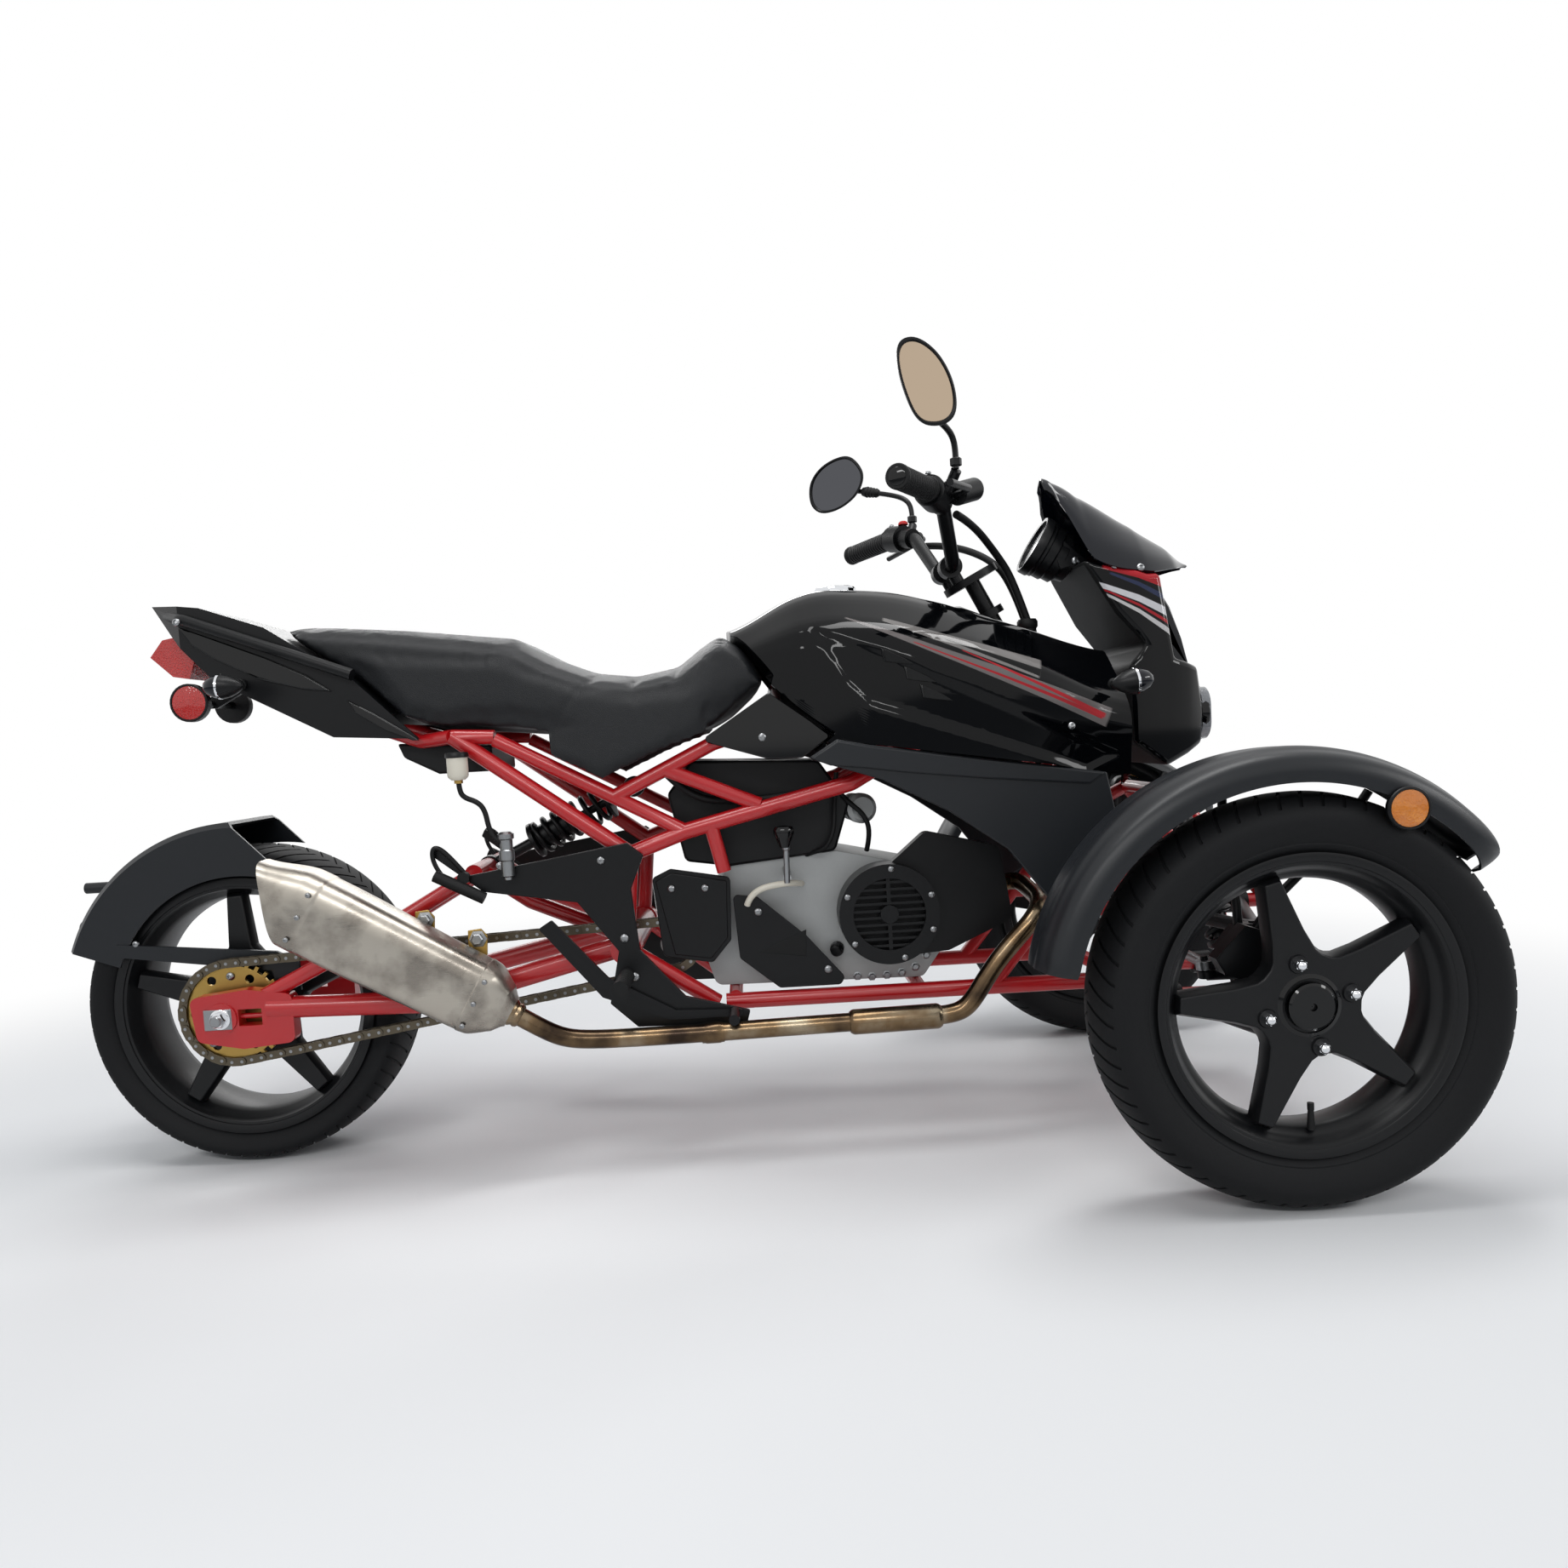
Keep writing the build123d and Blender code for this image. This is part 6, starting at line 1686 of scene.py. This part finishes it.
# round speedometer can behind the windscreen, and the plate that carries it
gaugeForm = {
    "place": (1316, 0, 925), "faces": (0.86, 0, -0.51),
    "can": [(41, 0), (42, -5), (47, -6), (48.5, -3), (48.5, 8), (46, 11), (46, 15), (44, 17), (44, 30),
            (41, 33), (41, 46), (33, 52), (31, 64), (20, 68), (0.05, 69)],
    "glass": [(0.05, -2), (41.5, -1), (41.5, 1)],
    "plate": [(1352, 925), (1400, 880), (1388, 866), (1361, 884), (1344, 880), (1336, 905)],
    "plateHalf": 36, "plateThickness": 4, "boltAt": (1368, 40, 892), "boltSize": 3.2,
}


def makeGauge():
    body = bodyOf("instrument_pod")
    place, faces = at(*gaugeForm["place"]), gaugeForm["faces"]
    ringPiece("gaugeCan", [(place, faces, gaugeForm["can"])], "blackPlastic", body, ("instrument_pod",), 64)
    ringPiece("gaugeGlass", [(place, faces, gaugeForm["glass"])], "smoked", body, (), 64)
    sidePatch("gaugePlate", gaugeForm["plate"], lambda _x, _z: gaugeForm["plateHalf"],
              gaugeForm["plateThickness"], "blackPlastic", body, bevel=1.5)
    x, y, z = gaugeForm["boltAt"]
    boltPiece("gaugeBolts", [(x, h * y, z, (0, h, 0), gaugeForm["boltSize"]) for h in (-1, 1)], "zinc", body)
    print("gauge made")


# plates and bolts that hold the muffler on its right side; the outline is about the bolt
hangerForm = {
    "boltsAt": ((332, 396), (409, 363)), "plateY": 166, "thickness": 3, "boltSize": 5.5,
    "outline": [(-15, 13), (5, 15), (14, 4), (10, -52), (-12, -52), (-16, -8)],
}


def makeHangers():
    for number, (boltX, boltZ) in enumerate(hangerForm["boltsAt"]):
        outline = [(boltX + x, boltZ + z) for x, z in hangerForm["outline"]]
        sidePatch("hangerPlate%d" % number, outline, lambda _x, _z: hangerForm["plateY"],
                  hangerForm["thickness"], "goldZinc", bevel=1, hands=(-1,))
        out = hangerForm["plateY"] + hangerForm["thickness"]
        bolts = [(boltX, -out, boltZ, (0, -1, 0), hangerForm["boltSize"])]
        boltPiece("hangerBolt%d" % number, bolts, "zinc", "chassis", flangeBolt)
    print("hangers made")


# throttle and brake cables from each control into one boot on the frame; the route is part.py's
cableForm = {
    "route": [(1162, 138, 957), (1194, 96, 950), (1244, 26, 915), (1276, 7, 872), (1298, 7, 800)],
    "width": 12, "bootAt": (1298, 0, 792),
    "boot": [(0.05, 16), (14, 16), (16.5, 12), (16.5, 4), (14, 0), (15, -8), (13, -14), (14, -22), (12, -30),
             (12.5, -44), (0.05, -46)],
}


def makeCables():
    for side, hand in (("right", -1), ("left", 1)):
        route = [(x, hand * y, z) for x, y, z in cableForm["route"]]
        cordPiece("controlCable_" + side, route, cableForm["width"], "gripRubber", "handlebar",
                  ("control_cables",) if hand < 0 else ())
    boot = [(at(*cableForm["bootAt"]), (0, 0, 1), cableForm["boot"])]
    ringPiece("cableBoot", boot, "gripRubber", "chassis")
    print("cables made")


# studio
studio = {
    "cameraPlace": (0.0830, -1.7983, 0.6451), "yaw": 0.0025, "pitch": -0.0690, "roll": -0.0569,
    "lens": 25.07, "shiftX": 0.01848, "shiftY": 0.01687,
    "sky": "#eef2f8", "skyStrength": 0.34, "backdrop": "#ffffff", "floor": "#f1f2f3",
    "fadeFrom": 1.2, "fadeTo": 2.6,
    # name, place, target, size x and y in metres, watts
    "panels": (("topPanel", (0.2, -0.3, 3.2), (0, 0, 0.5), 3.2, 0.6, 52),
               ("sidePanel", (-0.9, -3.6, 2.6), (0.1, 0, 0.5), 3.2, 0.35, 48),
               ("frontPanel", (3.6, -1.4, 1.9), (0.3, 0, 0.5), 1.8, 0.5, 24),
               ("backPanel", (-1.0, 3.4, 2.4), (0, 0, 0.5), 3.0, 0.5, 40)),
}


def makeStudio():
    forward = Vector((math.sin(studio["yaw"]) * math.cos(studio["pitch"]),
                      math.cos(studio["yaw"]) * math.cos(studio["pitch"]), math.sin(studio["pitch"])))
    right = Vector((math.cos(studio["yaw"]), -math.sin(studio["yaw"]), 0))
    up = right.cross(forward)
    turnedRight = right * math.cos(studio["roll"]) + up * math.sin(studio["roll"])
    turnedUp = up * math.cos(studio["roll"]) - right * math.sin(studio["roll"])
    data = bpy.data.cameras.new("camera")
    data.sensor_width = 36
    data.lens = studio["lens"]
    data.shift_x = studio["shiftX"]
    data.shift_y = studio["shiftY"]
    data.clip_end = 200
    camera = bpy.data.objects.new("camera", data)
    scene.collection.objects.link(camera)
    camera.matrix_world = Matrix.Translation(studio["cameraPlace"]) @ Matrix(
        (turnedRight, turnedUp, -forward)).transposed().to_4x4()
    scene.camera = camera

    scene.view_settings.view_transform = "Standard"
    world = bpy.data.worlds.new("studio")
    scene.world = world
    world.use_nodes = True
    tree = world.node_tree
    tree.nodes.clear()
    light = addNode(tree, "ShaderNodeLightPath")
    seen = addNode(tree, "ShaderNodeMath", {"operation": "MAXIMUM"},
                   {0: light.outputs["Is Camera Ray"], 1: light.outputs["Is Transmission Ray"]})
    seenToo = addNode(tree, "ShaderNodeMath", {"operation": "MAXIMUM"},
                      {0: seen.outputs[0], 1: light.outputs["Is Glossy Ray"]})
    soft = addNode(tree, "ShaderNodeBackground",
                   {"Color": toLinear(studio["sky"]), "Strength": studio["skyStrength"]})
    plain = addNode(tree, "ShaderNodeBackground", {"Color": toLinear(studio["backdrop"]), "Strength": 1.0})
    mixed = addNode(tree, "ShaderNodeMixShader", None,
                    {0: seenToo.outputs[0], 1: soft.outputs[0], 2: plain.outputs[0]})
    addNode(tree, "ShaderNodeOutputWorld", None, {"Surface": mixed.outputs[0]})

    # pale floor that keeps the shadow and fades to plain white away from the trike
    material = bpy.data.materials.new("studioFloor")
    material.use_nodes = True
    tree = material.node_tree
    shader = tree.nodes["Principled BSDF"]
    shader.inputs["Base Color"].default_value = toLinear(studio["floor"])
    shader.inputs["Roughness"].default_value = 0.9
    shader.inputs["Specular IOR Level"].default_value = 0.0
    place = addNode(tree, "ShaderNodeTexCoord")
    away = addNode(tree, "ShaderNodeVectorMath", {"operation": "LENGTH"}, {0: place.outputs["Object"]})
    fade = addNode(tree, "ShaderNodeMapRange", {"From Min": studio["fadeFrom"], "From Max": studio["fadeTo"],
                                                "interpolation_type": "SMOOTHSTEP"},
                   {"Value": away.outputs["Value"]})
    path = addNode(tree, "ShaderNodeLightPath")
    mask = addNode(tree, "ShaderNodeMath", {"operation": "MULTIPLY"},
                   {0: fade.outputs["Result"], 1: path.outputs["Is Camera Ray"]})
    white = addNode(tree, "ShaderNodeEmission", {"Color": (1, 1, 1, 1), "Strength": 1.0})
    mixed = addNode(tree, "ShaderNodeMixShader", None,
                    {0: mask.outputs[0], 1: shader.outputs[0], 2: white.outputs[0]})
    tree.links.new(mixed.outputs[0], tree.nodes["Material Output"].inputs["Surface"])
    work = bmesh.new()
    bmesh.ops.create_circle(work, cap_ends=True, segments=96, radius=40)
    mesh = bpy.data.meshes.new("studioFloor")
    work.to_mesh(mesh)
    work.free()
    floor = bpy.data.objects.new("studioFloor", mesh)
    mesh.materials.append(material)
    scene.collection.objects.link(floor)

    for name, place, target, sizeX, sizeY, power in studio["panels"]:
        lamp = bpy.data.lights.new(name, "AREA")
        lamp.shape = "RECTANGLE"
        lamp.size = sizeX
        lamp.size_y = sizeY
        lamp.energy = power
        panel = bpy.data.objects.new(name, lamp)
        scene.collection.objects.link(panel)
        panel.location = place
        panel.rotation_euler = (Vector(target) - Vector(place)).to_track_quat("-Z", "Y").to_euler()
    print("studio set")


makeMaterials()
makeWheels()
makeTank()
makeFenders()
makeSeat()
makeScreen()
makeNose()
makeLamps()
makePanels()
makeTail()
makeShroudTrim()
makeFootControls()
makeShocks()
makeChain()
makePipe()
makeEngineDetail()
makeCables()
makeGauge()
makeHangers()
makeMuffler()
makeMirrors()
makeGrips()
makeRunningGear()
makeFootBolts()
dressFrame()
makeStudio()
